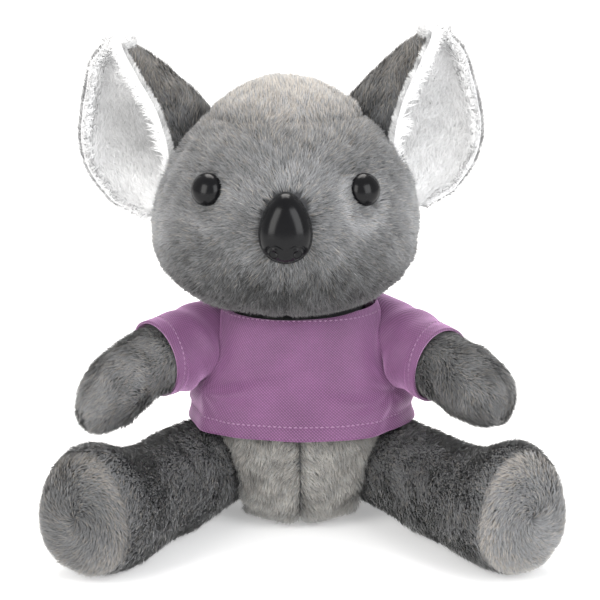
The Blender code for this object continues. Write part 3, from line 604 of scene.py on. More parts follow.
@dataclass(frozen=True)
class Pile:
    """A cut pile. A strand is a flat blade of two bent lengths that narrows to a point.

    Lift, scatter, mottle and soften are shares: how steeply the strands rise, how far their directions and
    their tones stray, and how far their shading is turned the way that light scatters.
    """

    length: float
    width: float
    per_mm2: float
    lift: float
    scatter: float
    mottle: float
    seed: int
    most: int = 51000
    soften: float = 0.0

    def grow(
        self,
        name: str,
        skin: bpy.types.Mesh,
        comb: Callable[[Array, Array], Comb],
        covers: Callable[[Array], Array],
        material: bpy.types.Material,
        floor: float = 0.4 * MM,
    ) -> bpy.types.Object:
        """Grows the pile on a part of a skin.

        Each strand starts at a random place, as likely on each face as its area. At a share s of its
        length L it is L lift (1.5 s - 0.5 s^2) off the cloth and L flat (0.75 s + 0.25 s^2) along the
        comb, where lift^2 + flat^2 = 1. Its bend is at s = 0.5. A softened pile's blades are wound the
        other way where the cloth faces away from the scattered light, so that they shade alike.

        Args:
            name: the piece's name.
            skin: the cloth that it grows on.
            comb: gives the comb at places with normals.
            covers: tells which places have pile.
            material: its finish.
            floor: the lowest that a strand reaches.

        Returns:
            The pile, as one piece.
        """
        rng = np.random.default_rng(self.seed)
        places, normals, triangles = vertex_arrays(skin)
        a, b, c = (places[triangles[:, i]] for i in range(3))
        wanted = covers((a + b + c) / 3.0)
        area = 0.5 * np.linalg.norm(np.cross(b - a, c - a), axis=1) * wanted
        count = int(min(self.most, area.sum() * 1e6 * self.per_mm2))
        chosen = np.searchsorted(np.cumsum(area) / area.sum(), rng.random(count)).clip(0, len(area) - 1)
        p, q = rng.random(count), rng.random(count)
        flip = p + q > 1.0
        p, q = np.where(flip, 1 - p, p)[:, None], np.where(flip, 1 - q, q)[:, None]
        corners = [triangles[chosen, i] for i in range(3)]
        root = (1 - p - q) * places[corners[0]] + p * places[corners[1]] + q * places[corners[2]]
        up = unit((1 - p - q) * normals[corners[0]] + p * normals[corners[1]] + q * normals[corners[2]])
        lie = comb(root, up)
        aside = np.cross(up, lie.direction)
        way = unit(lie.direction + aside * rng.normal(0.0, self.scatter, (count, 1)))
        length = (self.length * lie.length * rng.uniform(0.7, 1.15, count))[:, None]
        lift = np.clip(self.lift * lie.lift * rng.uniform(0.6, 1.4, count), 0.05, 0.95)[:, None]
        flat = np.sqrt(1.0 - lift**2)
        tilt = rng.normal(0.0, 0.45, (count, 1))
        side = np.where((self.soften > 0.0) & (up @ SCATTER < 0.0), -1.0, 1.0)[:, None]
        broad = unit(np.cross(way, up) + up * tilt) * (0.5 * self.width * side)
        middle = root + length * (up * lift * 0.625 + way * flat * 0.4375)
        tip = root + length * (up * lift + way * flat)
        narrow = 0.8 * broad
        blade = np.stack([root - broad, root + broad, middle - narrow, middle + narrow, tip], axis=1)
        blade[..., 2] = np.maximum(blade[..., 2], floor)
        first = 5 * np.arange(count)[:, None]
        quads, points = first + np.array([0, 1, 3, 2]), first + np.array([2, 3, 4])
        piece = add_piece(name, blade.reshape(-1, 3), [quads, points], material)
        self.shade(piece, up, way, rng, count)
        self.tint(piece, lie, rng, count)
        return piece

    def shade(
        self, piece: bpy.types.Object, up: Array, way: Array, rng: np.random.Generator, count: int
    ) -> None:
        """Sets the strands' shading normals: the cloth's, tilted along the strand by chance.

        As light scatters through deep pile, they are turned towards its usual source by the soften share,
        and so are the sides that the strands show.

        Args:
            piece: the strands.
            up: the cloth's normal at each strand.
            way: the strands' directions along the cloth.
            rng: the pile's random numbers.
            count: how many strands there are.
        """
        lean = rng.normal(0.12, 0.22, (count, 1))
        towards = (1.0 - self.soften) * up + self.soften * SCATTER
        normals = unit(towards + way * lean + rng.normal(0.0, 0.07, (count, 3)))
        piece.data.normals_split_custom_set_from_vertices(np.repeat(normals, 5, axis=0))

    def tint(self, piece: bpy.types.Object, lie: Comb, rng: np.random.Generator, count: int) -> None:
        """Lays each strand on the pattern map: its tone across; root to tip up, cool below warm.

        Args:
            piece: the strands.
            lie: the comb at their roots.
            rng: the pile's random numbers.
            count: how many strands there are.
        """
        tone = np.clip(lie.tone + rng.normal(0.0, self.mottle, count), 0.02, 0.98)
        warm = (rng.random(count) < lie.warmth) * 0.5
        u = tone[:, None] + np.array([-1, 1, -1, 1, 0]) * 0.004
        v = warm[:, None] + np.array([0.02, 0.02, 0.25, 0.25, 0.48])
        corner = np.stack([u, v], axis=-1)
        quads = corner[:, [0, 1, 3, 2]].reshape(-1, 2)
        set_map(piece, np.vstack([quads, corner[:, [2, 3, 4]].reshape(-1, 2)]))


# Finishes


class Graph:
    """Adds and links the nodes of one node tree."""

    def __init__(self, tree: bpy.types.NodeTree) -> None:
        """Keeps the tree."""
        self.tree = tree

    def add(self, kind: str, inputs: dict | None = None, **settings: object) -> bpy.types.Node:
        """Returns a new node.

        Args:
            kind: its type's name.
            inputs: a value or another node's output for each named or numbered input.
            **settings: its own settings.

        Returns:
            The node.
        """
        node = self.tree.nodes.new(kind)
        for key, value in settings.items():
            setattr(node, key, value)
        self.feed(node, inputs or {})
        return node

    def feed(self, node: bpy.types.Node, inputs: dict) -> None:
        """Links or sets a node's inputs.

        Args:
            node: the node.
            inputs: a value or another node's output for each named or numbered input.
        """
        for key, value in inputs.items():
            if isinstance(value, bpy.types.NodeSocket):
                self.tree.links.new(value, node.inputs[key])
            else:
                node.inputs[key].default_value = value

    def math(self, operation: str, *values: object) -> bpy.types.NodeSocket:
        """Returns the output of a Math node."""
        return self.add("ShaderNodeMath", dict(enumerate(values)), operation=operation).outputs[0]

    def blend(self, factor: object, low: object, high: object) -> bpy.types.NodeSocket:
        """Returns a mix of two colours."""
        inputs = {"Factor": factor, 6: low, 7: high}
        return self.add("ShaderNodeMix", inputs, data_type="RGBA").outputs[2]

    def bump(self, height: bpy.types.NodeSocket, strength: float, distance: float) -> bpy.types.NodeSocket:
        """Returns the normal of a surface roughened by a height."""
        inputs = {"Strength": strength, "Distance": distance, "Height": height}
        return self.add("ShaderNodeBump", inputs).outputs[0]


def new_material(name: str, roughness: float) -> tuple[bpy.types.Material, Graph, bpy.types.Node]:
    """Returns a material, its graph and its Principled shader.

    Args:
        name: the material's name.
        roughness: its roughness.

    Returns:
        The material, its graph and its shader.
    """
    material = bpy.data.materials.new(name)
    material.use_nodes = True
    graph, shader = Graph(material.node_tree), material.node_tree.nodes["Principled BSDF"]
    graph.feed(shader, {"Roughness": roughness})
    return material, graph, shader


def new_group(name: str, inputs: dict[str, str], outputs: dict[str, str]) -> tuple[Graph, dict, dict]:
    """Returns a node group's graph, its inputs' sockets and its output node's inputs, by name.

    Args:
        name: the group's name.
        inputs: the kind of socket of each input, by name.
        outputs: the same of each output.

    Returns:
        The graph, the inputs and the outputs.
    """
    tree = bpy.data.node_groups.new(name, "ShaderNodeTree")
    for label, kind in inputs.items():
        tree.interface.new_socket(label, in_out="INPUT", socket_type=kind)
    for label, kind in outputs.items():
        tree.interface.new_socket(label, in_out="OUTPUT", socket_type=kind)
    entry = tree.nodes.new("NodeGroupInput")
    end = tree.nodes.new("NodeGroupOutput")
    given = {label: entry.outputs[label] for label in inputs}
    return Graph(tree), given, {label: end.inputs[label] for label in outputs}


def strand_colour_group() -> bpy.types.NodeTree:
    """Returns the effect that colours pile strands: root to tip, cool or warm, darker or lighter. The darker
    roots are painted shade deep in the pile.

    Returns:
        The effect's node group.
    """
    colour, number = "NodeSocketColor", "NodeSocketFloat"
    inputs = {"Map": "NodeSocketVector"}
    inputs |= {label: colour for label in ("Root", "Tip", "Warm Root", "Warm Tip")}
    inputs |= {"Darkest": number, "Lightest": number}
    graph, given, result = new_group("strand_colour", inputs, {"Color": colour})
    parts = graph.add("ShaderNodeSeparateXYZ", {0: given["Map"]}).outputs
    warm = graph.math("GREATER_THAN", parts["Y"], 0.5)
    along = graph.math("FRACT", graph.math("MULTIPLY", parts["Y"], 2.0))
    cool_colour = graph.blend(along, given["Root"], given["Tip"])
    warm_colour = graph.blend(along, given["Warm Root"], given["Warm Tip"])
    hue = graph.blend(warm, cool_colour, warm_colour)
    span = graph.math("SUBTRACT", given["Lightest"], given["Darkest"])
    tone = graph.math("MULTIPLY_ADD", parts["X"], span, given["Darkest"])
    scaled = graph.add("ShaderNodeVectorMath", {0: hue, "Scale": tone}, operation="SCALE").outputs[0]
    graph.tree.links.new(scaled, result["Color"])
    return graph.tree


def cloth_speckle_group() -> bpy.types.NodeTree:
    """Returns the effect of loose fibres: a fine mask and a broad one, by place on the object.

    Returns:
        The effect's node group.
    """
    scales = {"Fine": "NodeSocketFloat", "Broad": "NodeSocketFloat"}
    graph, given, result = new_group("fibre_speckle", {"Place": "NodeSocketVector"} | scales, scales)
    for label, detail in (("Fine", 4.0), ("Broad", 2.0)):
        inputs = {"Vector": given["Place"], "Scale": given[label], "Detail": detail}
        noise = graph.add("ShaderNodeTexNoise", inputs)
        graph.tree.links.new(noise.outputs["Fac"], result[label])
    return graph.tree


def knit_face_group() -> bpy.types.NodeTree:
    """Returns the effect of a twill-faced knit on a flat map.

    Height = (0.5 + 0.5 cos 2 pi (x + y)) (0.62 + 0.38 cos 2 pi (x - y)), x and y in stitches.

    Returns:
        The effect's node group.
    """
    inputs = {"Map": "NodeSocketVector", "Stitches": "NodeSocketFloat"}
    graph, given, result = new_group("knit_face", inputs, {"Height": "NodeSocketFloat"})
    sizes = {0: given["Map"], "Scale": given["Stitches"]}
    scaled = graph.add("ShaderNodeVectorMath", sizes, operation="SCALE")
    parts = graph.add("ShaderNodeSeparateXYZ", {0: scaled.outputs[0]}).outputs
    waves = []
    for operation in ("ADD", "SUBTRACT"):
        turn = graph.math("MULTIPLY", graph.math(operation, parts["X"], parts["Y"]), TAU)
        waves.append(graph.math("COSINE", turn))
    rib = graph.math("MULTIPLY_ADD", waves[0], 0.5, 0.5)
    break_up = graph.math("MULTIPLY_ADD", waves[1], 0.38, 0.62)
    graph.tree.links.new(graph.math("MULTIPLY", rib, break_up), result["Height"])
    return graph.tree


class Effects:
    """The shader effects that several finishes share, each built once."""

    def __init__(self) -> None:
        """Builds each effect."""
        self.strand_colour = strand_colour_group()
        self.speckle = cloth_speckle_group()
        self.knit_face = knit_face_group()


@dataclass(frozen=True)
class PileFinish:
    """Strands of one fur cloth. Colours are linear; the tones scale them. Roots darker than tips are painted
    shade deep in the pile.
    """

    name: str
    root: tuple[float, float, float]
    tip: tuple[float, float, float]
    warm_root: tuple[float, float, float]
    warm_tip: tuple[float, float, float]
    darkest: float
    lightest: float
    sheen: float = 0.45
    glow: float = 0.0

    def material(self, effects: Effects) -> bpy.types.Material:
        """Returns the strands' material, which reads their pattern map.

        The glow stands for the light that scatters on through deep white pile.

        Args:
            effects: the shared effects.

        Returns:
            The material.
        """
        material, graph, shader = new_material(self.name, 0.72)
        place = graph.add("ShaderNodeUVMap", uv_map=PATTERN_MAP).outputs[0]
        inputs = {"Map": place, "Darkest": self.darkest, "Lightest": self.lightest}
        colours = {"Root": self.root, "Tip": self.tip, "Warm Root": self.warm_root, "Warm Tip": self.warm_tip}
        inputs |= {label: (*colour, 1.0) for label, colour in colours.items()}
        group = graph.add("ShaderNodeGroup", inputs, node_tree=effects.strand_colour)
        graph.feed(shader, {
            "Base Color": group.outputs["Color"], "Specular IOR Level": 0.25, "Sheen Weight": self.sheen,
            "Sheen Roughness": 0.45, "Emission Color": WHITE, "Emission Strength": self.glow,
        })
        return material


@dataclass(frozen=True)
class BackingFinish:
    """The woven backing that pile grows from, dark between the roots."""

    name: str
    dark: tuple[float, float, float]
    light: tuple[float, float, float]

    def material(self, effects: Effects) -> bpy.types.Material:
        """Returns the backing's material, mottled by place.

        Args:
            effects: the shared effects.

        Returns:
            The material.
        """
        material, graph, shader = new_material(self.name, 0.95)
        speckle = speckled(graph, effects, 1400.0, 90.0)
        colour = graph.blend(speckle["Fine"], (*self.dark, 1.0), (*self.light, 1.0))
        normal = graph.bump(speckle["Broad"], 0.4, 0.3 * MM)
        graph.feed(shader, {"Base Color": colour, "Normal": normal, "Specular IOR Level": 0.15})
        return material


def speckled(graph: Graph, effects: Effects, fine: float, broad: float) -> bpy.types.bpy_prop_collection:
    """Returns the outputs of the speckle effect placed in a material, at two noise scales."""
    inputs = {"Place": graph.add("ShaderNodeTexCoord").outputs["Object"], "Fine": fine, "Broad": broad}
    return graph.add("ShaderNodeGroup", inputs, node_tree=effects.speckle).outputs


@dataclass(frozen=True)
class KnitFinish:
    """Fine twill-faced knit with a soft sheen."""

    name: str
    low: tuple[float, float, float]
    high: tuple[float, float, float]
    pitch: float

    def material(self, effects: Effects) -> bpy.types.Material:
        """Returns the knit's material: stitches on its pattern map, fading and lint by place.

        Args:
            effects: the shared effects.

        Returns:
            The material.
        """
        material, graph, shader = new_material(self.name, 0.62)
        place = graph.add("ShaderNodeUVMap", uv_map=PATTERN_MAP).outputs[0]
        inputs = {"Map": place, "Stitches": CLOTH_UNIT / self.pitch}
        height = graph.add("ShaderNodeGroup", inputs, node_tree=effects.knit_face).outputs["Height"]
        speckle = speckled(graph, effects, 900.0, 60.0)
        faded = graph.math("MULTIPLY_ADD", speckle["Broad"], 0.35, graph.math("MULTIPLY", height, 0.62))
        tone = graph.math("MULTIPLY_ADD", speckle["Fine"], 0.2, graph.math("SUBTRACT", faded, 0.1))
        graph.feed(shader, {
            "Base Color": graph.blend(tone, (*self.low, 1.0), (*self.high, 1.0)),
            "Normal": graph.bump(height, 0.75, 0.14 * MM),
            "Roughness": graph.math("MULTIPLY_ADD", height, -0.15, 0.58),
            "Sheen Weight": 1.0, "Sheen Roughness": 0.5, "Sheen Tint": (0.95, 0.55, 0.92, 1.0),
            "Specular IOR Level": 0.5,
        })
        return material


@dataclass(frozen=True)
class ThreadFinish:
    """Sewing thread: a twist of fine ply, a little lighter than the cloth."""

    name: str
    low: tuple[float, float, float]
    high: tuple[float, float, float]

    def material(self, effects: Effects) -> bpy.types.Material:
        """Returns the thread's material, flecked by place.

        Args:
            effects: the shared effects.

        Returns:
            The material.
        """
        material, graph, shader = new_material(self.name, 0.5)
        fleck = speckled(graph, effects, 2600.0, 300.0)["Fine"]
        colour = graph.blend(fleck, (*self.low, 1.0), (*self.high, 1.0))
        graph.feed(shader, {"Base Color": colour, "Sheen Weight": 0.3})
        return material


@dataclass(frozen=True)
class PlasticFinish:
    """Moulded plastic, with fine rubbing marks in its gloss."""

    name: str
    colour: tuple[float, float, float]
    worn: tuple[float, float, float]
    roughness: float
    specular: float

    def material(self, effects: Effects) -> bpy.types.Material:
        """Returns the plastic's material: its gloss and colour vary by place.

        Args:
            effects: the shared effects.

        Returns:
            The material.
        """
        material, graph, shader = new_material(self.name, self.roughness)
        speckle = speckled(graph, effects, 700.0, 120.0)
        colour = graph.blend(speckle["Broad"], (*self.colour, 1.0), (*self.worn, 1.0))
        rough = graph.math("MULTIPLY_ADD", speckle["Fine"], 0.5 * self.roughness, 0.75 * self.roughness)
        graph.feed(shader, {"Base Color": colour, "Roughness": rough, "Specular IOR Level": self.specular})
        return material


class Finishes:
    """Every finish of the toy, built once."""

    def __init__(self) -> None:
        """Builds each finish."""
        effects = Effects()
        # Each pile's root, tip, warm root and warm tip colours; the darker roots are painted shade deep in
        # the pile.
        grey = ((0.080, 0.082, 0.085), (0.300, 0.304, 0.311), (0.115, 0.106, 0.096), (0.42, 0.388, 0.352))
        pale = ((0.13, 0.13, 0.125), (0.46, 0.46, 0.445), (0.15, 0.142, 0.13), (0.52, 0.495, 0.455))
        white = ((0.80, 0.802, 0.81), (0.965, 0.965, 0.966), (0.80, 0.802, 0.81), (0.97, 0.96, 0.95))
        self.grey_pile = PileFinish("grey_pile", *grey, darkest=0.42, lightest=1.55).material(effects)
        face = PileFinish("face_pile", *grey, darkest=0.06, lightest=1.6, sheen=0.2)
        self.face_pile = face.material(effects)
        self.leg_pile = PileFinish("leg_pile", *grey, darkest=0.2, lightest=1.25).material(effects)
        self.belly_pile = PileFinish("belly_pile", *pale, darkest=0.35, lightest=1.4).material(effects)
        ears = PileFinish("white_pile", *white, darkest=0.10, lightest=1.0, sheen=0.4, glow=0.2)
        self.white_pile = ears.material(effects)
        backing = BackingFinish("grey_backing", (0.035, 0.036, 0.038), (0.10, 0.10, 0.105))
        self.grey_backing = backing.material(effects)
        backing = BackingFinish("white_backing", (0.55, 0.55, 0.56), (0.8, 0.8, 0.8))
        self.white_backing = backing.material(effects)
        knit = KnitFinish("purple_knit", (0.028, 0.007, 0.026), (0.264, 0.087, 0.247), pitch=1.02 * MM)
        self.knit = knit.material(effects)
        thread = ThreadFinish("purple_thread", (0.15, 0.07, 0.14), (0.38, 0.21, 0.36))
        self.thread = thread.material(effects)
        black, worn = (0.003, 0.003, 0.0035), (0.006, 0.006, 0.007)
        gloss = PlasticFinish("black_gloss", black, worn, roughness=0.2, specular=0.17)
        self.black_gloss = gloss.material(effects)
        natural, dull = (0.72, 0.72, 0.69), (0.60, 0.60, 0.57)
        matte = PlasticFinish("washer_plastic", natural, dull, roughness=0.5, specular=0.5)
        self.washer_plastic = matte.material(effects)


# Sub-assemblies

# Each row of a form's table: place along it, half width, reach to +Y and reach to -Y, as shares of its box.
HEAD_RINGS = (
    (0.000, 0.40, 0.40, 0.42),
    (0.035, 0.64, 0.63, 0.65),
    (0.120, 0.85, 0.82, 0.86),
    (0.240, 0.97, 0.95, 0.97),
    (0.390, 1.00, 1.00, 1.00),
    (0.550, 0.93, 0.98, 0.97),
    (0.720, 0.79, 0.88, 0.82),
    (0.870, 0.56, 0.64, 0.57),
    (0.970, 0.29, 0.33, 0.29),
    (1.000, 0.13, 0.15, 0.13),
)
TORSO_RINGS = (
    (0.00, 0.50, 0.55, 0.56),
    (0.05, 0.76, 0.80, 0.84),
    (0.20, 0.95, 0.98, 0.98),
    (0.42, 1.00, 1.00, 1.00),
    (0.64, 0.94, 0.90, 0.86),
    (0.84, 0.86, 0.80, 0.74),
    (0.97, 0.72, 0.68, 0.62),
    (1.00, 0.50, 0.46, 0.44),
)
LEG_RINGS = (
    (0.000, 0.28, 0.20, 0.30),
    (0.040, 0.58, 0.41, 0.61),
    (0.160, 0.86, 0.60, 0.91),
    (0.420, 0.88, 0.62, 0.95),
    (0.640, 0.88, 0.64, 1.00),
    (0.760, 0.93, 0.80, 1.00),
    (0.870, 1.00, 1.00, 0.98),
    (0.940, 0.94, 0.94, 0.91),
    (0.980, 0.82, 0.80, 0.78),
    (1.000, 0.50, 0.48, 0.46),
)
ARM_RINGS = (
    (0.00, 0.30, 0.30, 0.30),
    (0.05, 0.58, 0.58, 0.58),
    (0.12, 0.73, 0.73, 0.73),
    (0.30, 0.80, 0.80, 0.80),
    (0.50, 0.86, 0.86, 0.86),
    (0.64, 0.93, 0.93, 0.93),
    (0.79, 1.00, 1.00, 1.00),
    (0.93, 0.79, 0.80, 0.78),
    (1.00, 0.44, 0.46, 0.44),
)

# Each row: height, how far out the middle leans, half width and half depth, as shares.
EAR_SECTIONS = (
    (0.00, -0.27, 0.50, 0.45),
    (0.10, -0.13, 0.85, 0.76),
    (0.28, 0.07, 1.07, 0.96),
    (0.45, 0.17, 1.12, 1.00),
    (0.63, 0.33, 0.97, 0.96),
    (0.76, 0.55, 0.75, 0.86),
    (0.89, 0.79, 0.50, 0.66),
    (1.00, 0.93, 0.17, 0.32),
)

# Each light: name, place from the picture's middle, width and height, power in watts and linear colour.
LIGHTS = (
    ("window_light", (-0.68, -0.74, 0.38), (0.55, 0.80), 8.5, (1.0, 0.99, 0.97)),
    ("side_light", (0.70, -0.72, 0.38), (0.65, 0.80), 9.0, (0.98, 0.99, 1.0)),
    ("top_light", (0.0, 0.45, 1.0), (0.70, 0.70), 12.0, (1.0, 0.975, 0.94)),
)


@dataclass
class Photographer:
    """The camera, the pale floor and the soft lights of a product picture."""

    target: tuple[float, float, float]
    elevation: float = 15.5
    distance: float = 0.9
    lens: float = 150.0
    shift: float = 0.015

    def set_up(self) -> None:
        """Makes the camera, then the floor and the lights."""
        scene = bpy.context.scene
        camera = bpy.data.objects.new("camera", bpy.data.cameras.new("camera"))
        scene.collection.objects.link(camera)
        rise = math.radians(self.elevation)
        back = Vector((0.0, -math.cos(rise), math.sin(rise)))
        camera.location = Vector(self.target) + back * self.distance
        camera.rotation_euler = back.to_track_quat("Z", "Y").to_euler()
        camera.data.lens = self.lens
        camera.data.sensor_width = 36.0
        camera.data.shift_y = self.shift
        scene.camera = camera
        scene.view_settings.view_transform = "Standard"
        self.floor()
        self.sky()
        for light in LIGHTS:
            self.softbox(*light)

    def floor(self) -> None:
        """Lays the floor: a wide plane that reads as the paper sweep behind the toy."""
        corners = np.array([(-1.0, -1.0, 0.0), (1.0, -1.0, 0.0), (1.0, 1.0, 0.0), (-1.0, 1.0, 0.0)])
        corners *= FLOOR_REACH
        material, graph, shader = new_material("paper", 0.9)
        place = graph.add("ShaderNodeTexCoord").outputs["Object"]
        noise = graph.add("ShaderNodeTexNoise", {"Vector": place, "Scale": 3.0}).outputs["Fac"]
        colour = graph.blend(noise, (0.90, 0.90, 0.90, 1.0), (0.93, 0.93, 0.93, 1.0))
        gloss, glow = {"Specular IOR Level": 0.1}, {"Emission Color": WHITE, "Emission Strength": 0.3}
        graph.feed(shader, {"Base Color": colour} | gloss | glow)
        add_piece("floor", corners, [np.array([[0, 1, 2, 3]])], material)

    def sky(self) -> None:
        """Fills the surroundings with an even white light."""
        world = bpy.data.worlds.new("studio")
        world.use_nodes = True
        background = world.node_tree.nodes["Background"]
        Graph(world.node_tree).feed(background, {"Color": WHITE, "Strength": 0.66})
        bpy.context.scene.world = world

    def softbox(
        self,
        name: str,
        place: tuple[float, float, float],
        size: tuple[float, float],
        power: float,
        colour: tuple[float, float, float],
    ) -> None:
        """Adds one oblong soft light that faces the toy.

        Args:
            name: the light's name.
            place: where it stands, from the toy's middle.
            size: its width and height.
            power: its power in watts.
            colour: its linear colour.
        """
        data = bpy.data.lights.new(name, "AREA")
        data.shape = "RECTANGLE"
        data.size, data.size_y = size
        data.energy = power
        data.color = colour
        light = bpy.data.objects.new(name, data)
        bpy.context.scene.collection.objects.link(light)
        light.location = Vector(self.target) + Vector(place)
        light.rotation_euler = Vector(place).to_track_quat("Z", "Y").to_euler()


class Sewn:
    """What every stuffed part shares: its panels' seams hold its skin where they are."""

    def held(self, width: float, world: Array) -> Array:
        """Returns how firmly the seams hold each point of the skin: a bell of its distance to them."""
        return bell(self.seam_distance(self.seat.local(world)), width)


@dataclass
class Head(Sewn):
    """The head: a stuffed skin of four panels with its pile."""

    neck: Array
    finishes: Finishes
    sunk: float = 1.5 * MM
    form: RingForm = RingForm(HEAD_RINGS, (-0.0495, -0.044, 0.0), (0.0495, 0.041, 0.086))
    crown_seam: float = 0.071
    side_seam: float = 0.004
    nose_place: tuple[float, float, float] = (0.0, -0.044, 0.040)

    def __post_init__(self) -> None:
        """Works out the head's seat."""
        self.seat = Seat(self.neck, np.eye(3))

    def seam_distance(self, local: Array) -> Array:
        """Returns each local point's distance to the nearest seam between two panels.

        Args:
            local: places in the part's own frame, (n, 3).

        Returns:
            The distances.
        """
        crown = np.abs(local[:, 2] - self.crown_seam) + FAR * (local[:, 1] > self.side_seam)
        side = np.abs(local[:, 1] - self.side_seam)
        middle = np.abs(local[:, 0]) + FAR * ((local[:, 2] > 0.033) | (local[:, 1] > -0.01))
        return np.minimum(np.minimum(crown, side), middle)

    def eye_places(self) -> list[Array]:
        """Returns the two eyes' places in the head's frame."""
        return [self.seat.local(eye_seat(side).origin) for side in Side]

    def skin(self) -> bpy.types.Object:
        """Builds the stuffed skin.

        The form is drawn in by the pile's depth. Bells of the distance to each eye sink the sockets, one
        round the nose raises the muzzle a little, a dart creases the crown, and drift makes the stuffing
        uneven.

        Returns:
            The skin, as one piece.
        """
        grid = self.form.surface(110, 168, self.sunk + SWELL_ROOM)
        normals = shell_normals(grid)
        flat = grid.reshape(-1, 3)
        rise = 0.45 * MM * drift(flat, 0.034, 4)
        for eye in self.eye_places():
            rise -= 0.7 * MM * nearness(flat, eye, 0.010)
        rise += 1.1 * MM * nearness(flat - self.nose_place, [0.0, 0.0, -0.006], 0.018)
        beyond = (flat[:, 1] > 0.002) | (flat[:, 1] < -0.025) | (flat[:, 2] < 0.07)
        rise -= 1.3 * MM * bell(np.abs(flat[:, 0] - 0.003) + FAR * beyond, 0.0016)
        grid = grid + normals * rise.reshape(grid.shape[:2])[..., None]
        vertices, faces = closed_shell(self.seat.world(grid))
        piece = add_piece("head_skin", vertices, faces, self.finishes.grey_backing)
        Stuffing().swell(piece, partial(self.held, 0.0016))
        smooth(piece)
        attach(piece, "head")
        panels = ("head_crown_panel", "head_cheek_panel_left", "head_cheek_panel_right", "head_back_panel")
        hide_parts(*panels, "head_fill")
        return piece

    def comb(self, roots: Array, normals: Array) -> Comb:
        """Returns the head's comb: away from the nose on the face, down the back, back over the crown.

        Args:
            roots: where the strands start, (n, 3).
            normals: the cloth's normals there.

        Returns:
            The comb.
        """
        local = self.seat.local(roots)
        away = unit(local - self.nose_place)
        crown = (local[:, 2] > self.crown_seam) & (local[:, 1] < self.side_seam)
        behind = local[:, 1] > self.side_seam
        way = away + [0.0, 0.0, -0.15]
        way = np.where(behind[:, None], [0.0, 0.1, -1.0], way)
        way = np.where(crown[:, None], [0.0, 0.55, 0.8], way)
        direction = along_surface(way + 0.30 * swirl(local, 0.021, 1), normals)
        seam = bell(self.seam_distance(local), 0.0011)
        # The tone is painted light and shade: darker towards the chin, where shade falls under the head, and
        # lighter over the crown and up the head's sides, where the light from above catches the fur.
        tone = -0.03 + 0.47 * ease(local[:, 2], 0.0, 0.042) + 0.50 * ease(local[:, 2], 0.065, 0.084)
        tone += 0.16 * nearness(local, [0.0, -0.042, 0.058], 0.017)
        tone += 0.34 * ease(np.abs(local[:, 0]), 0.033, 0.047) * ease(local[:, 2], 0.012, 0.030)
        tone += 0.06 * drift(local, 0.005, 5) + 0.055 * drift(local, 0.019, 6) - 0.09 * seam
        warmth = 0.08 + 0.55 * ease(local[:, 2], 0.058, 0.082)
        length = 1.0 - 0.35 * seam
        lift = 1.0 + 0.25 * drift(local, 0.009, 7) - 0.2 * seam
        # Round each eye the pile is shorter; the darker ring round it is painted shade in the socket, and a
        # crescent under its inner side is lighter.
        for eye, glow in zip(self.eye_places(), (0.10, 0.34)):
            length *= 1.0 - 0.40 * nearness(local, eye, 0.0088)
            tone -= 0.30 * nearness(local, eye, 0.0075)
            inner = local - eye - [-math.copysign(0.0035, eye[0]), 0.0, -0.0045]
            ring = np.linalg.norm(inner, axis=1)
            tone += glow * bell(ring - 0.0085, 0.003) * (local[:, 2] < eye[2] + 0.004)
        above = local - self.nose_place - [0.0, 0.0, 0.0135]
        tuft = bell(np.linalg.norm(above * [0.62, 1.0, 1.0], axis=1), 0.0052)
        tone += 0.34 * tuft
        lift += 0.5 * tuft
        length *= 1.0 - 0.20 * nearness(local, self.nose_place, 0.012)
        return Comb(direction, length, lift, tone, warmth)

    def bare(self, world: Array) -> Array:
        """Returns where the head has no pile: under the nose and the eyes, and round the neck.

        Args:
            world: places in the world, (n, 3).

        Returns:
            Whether each point is bare.
        """
        local = self.seat.local(world)
        bare = (local[:, 2] < 0.008) & (np.hypot(local[:, 0], local[:, 1]) < 0.02)
        for eye in self.eye_places():
            bare |= np.linalg.norm(local - eye, axis=1) < 0.0054
        nose = (local - self.nose_place) / [0.0085, 0.02, 0.0118]
        return bare | (np.linalg.norm(nose, axis=1) < 1.0)

    def has_pile(self, panel: int, world: Array) -> Array:
        """Returns which points have pile on a panel: the crown (0), a cheek (1, 2) or the back (3).

        Args:
            panel: the panel's number.
            world: places in the world, (n, 3).

        Returns:
            Whether each point has pile there.
        """
        local = self.seat.local(world)
        cheek = np.where(local[:, 0] < 0.0, 1, 2)
        front = np.where(local[:, 2] > self.crown_seam, 0, cheek)
        found = np.where(local[:, 1] < self.side_seam, front, 3)
        return (found == panel) & ~self.bare(world)

    def piles(self, skin: bpy.types.Object) -> list[bpy.types.Object]:
        """Grows each panel's pile, sparser on the back.

        Args:
            skin: the skin that it grows on.

        Returns:
            The piles.
        """
        grown = []
        panels = ("head_crown_pile", "head_cheek_left_pile", "head_cheek_right_pile", "head_back_pile")
        for panel, name in enumerate(panels):
            pile = Pile(
                length=3.7 * MM, width=0.295 * MM, per_mm2=9.6 if panel < 3 else 3.8,
                lift=0.46, scatter=0.26, mottle=0.10, seed=20 + panel,
            )
            covers = partial(self.has_pile, panel)
            piece = pile.grow(name, skin.data, self.comb, covers, self.finishes.face_pile)
            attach(piece, "head")
            grown.append(piece)
        return grown

    def under(self, world: Array, gap: float) -> Array:
        """Returns the height that must stay free for the turning head, over each point.

        The head is taken as round about its neck, with its widest reach at each height.

        Args:
            world: places in the world, (n, 3).
            gap: how much room is left under the head.

        Returns:
            The heights.
        """
        profile = self.form.profile(160)
        radius = profile[:, 1:].max(1)
        lower = slice(0, int(radius.argmax()))
        local = self.seat.local(world)
        height = np.interp(np.hypot(local[:, 0], local[:, 1]), radius[lower], profile[lower, 0])
        return height + self.neck[2] - gap


def eye_seat(side: Side) -> Seat:
    """Returns where an eye is snapped in, from its washer: a ring whose flattest way is the eye's."""
    return fitting_seat(f"eye_washer_{side.value}")


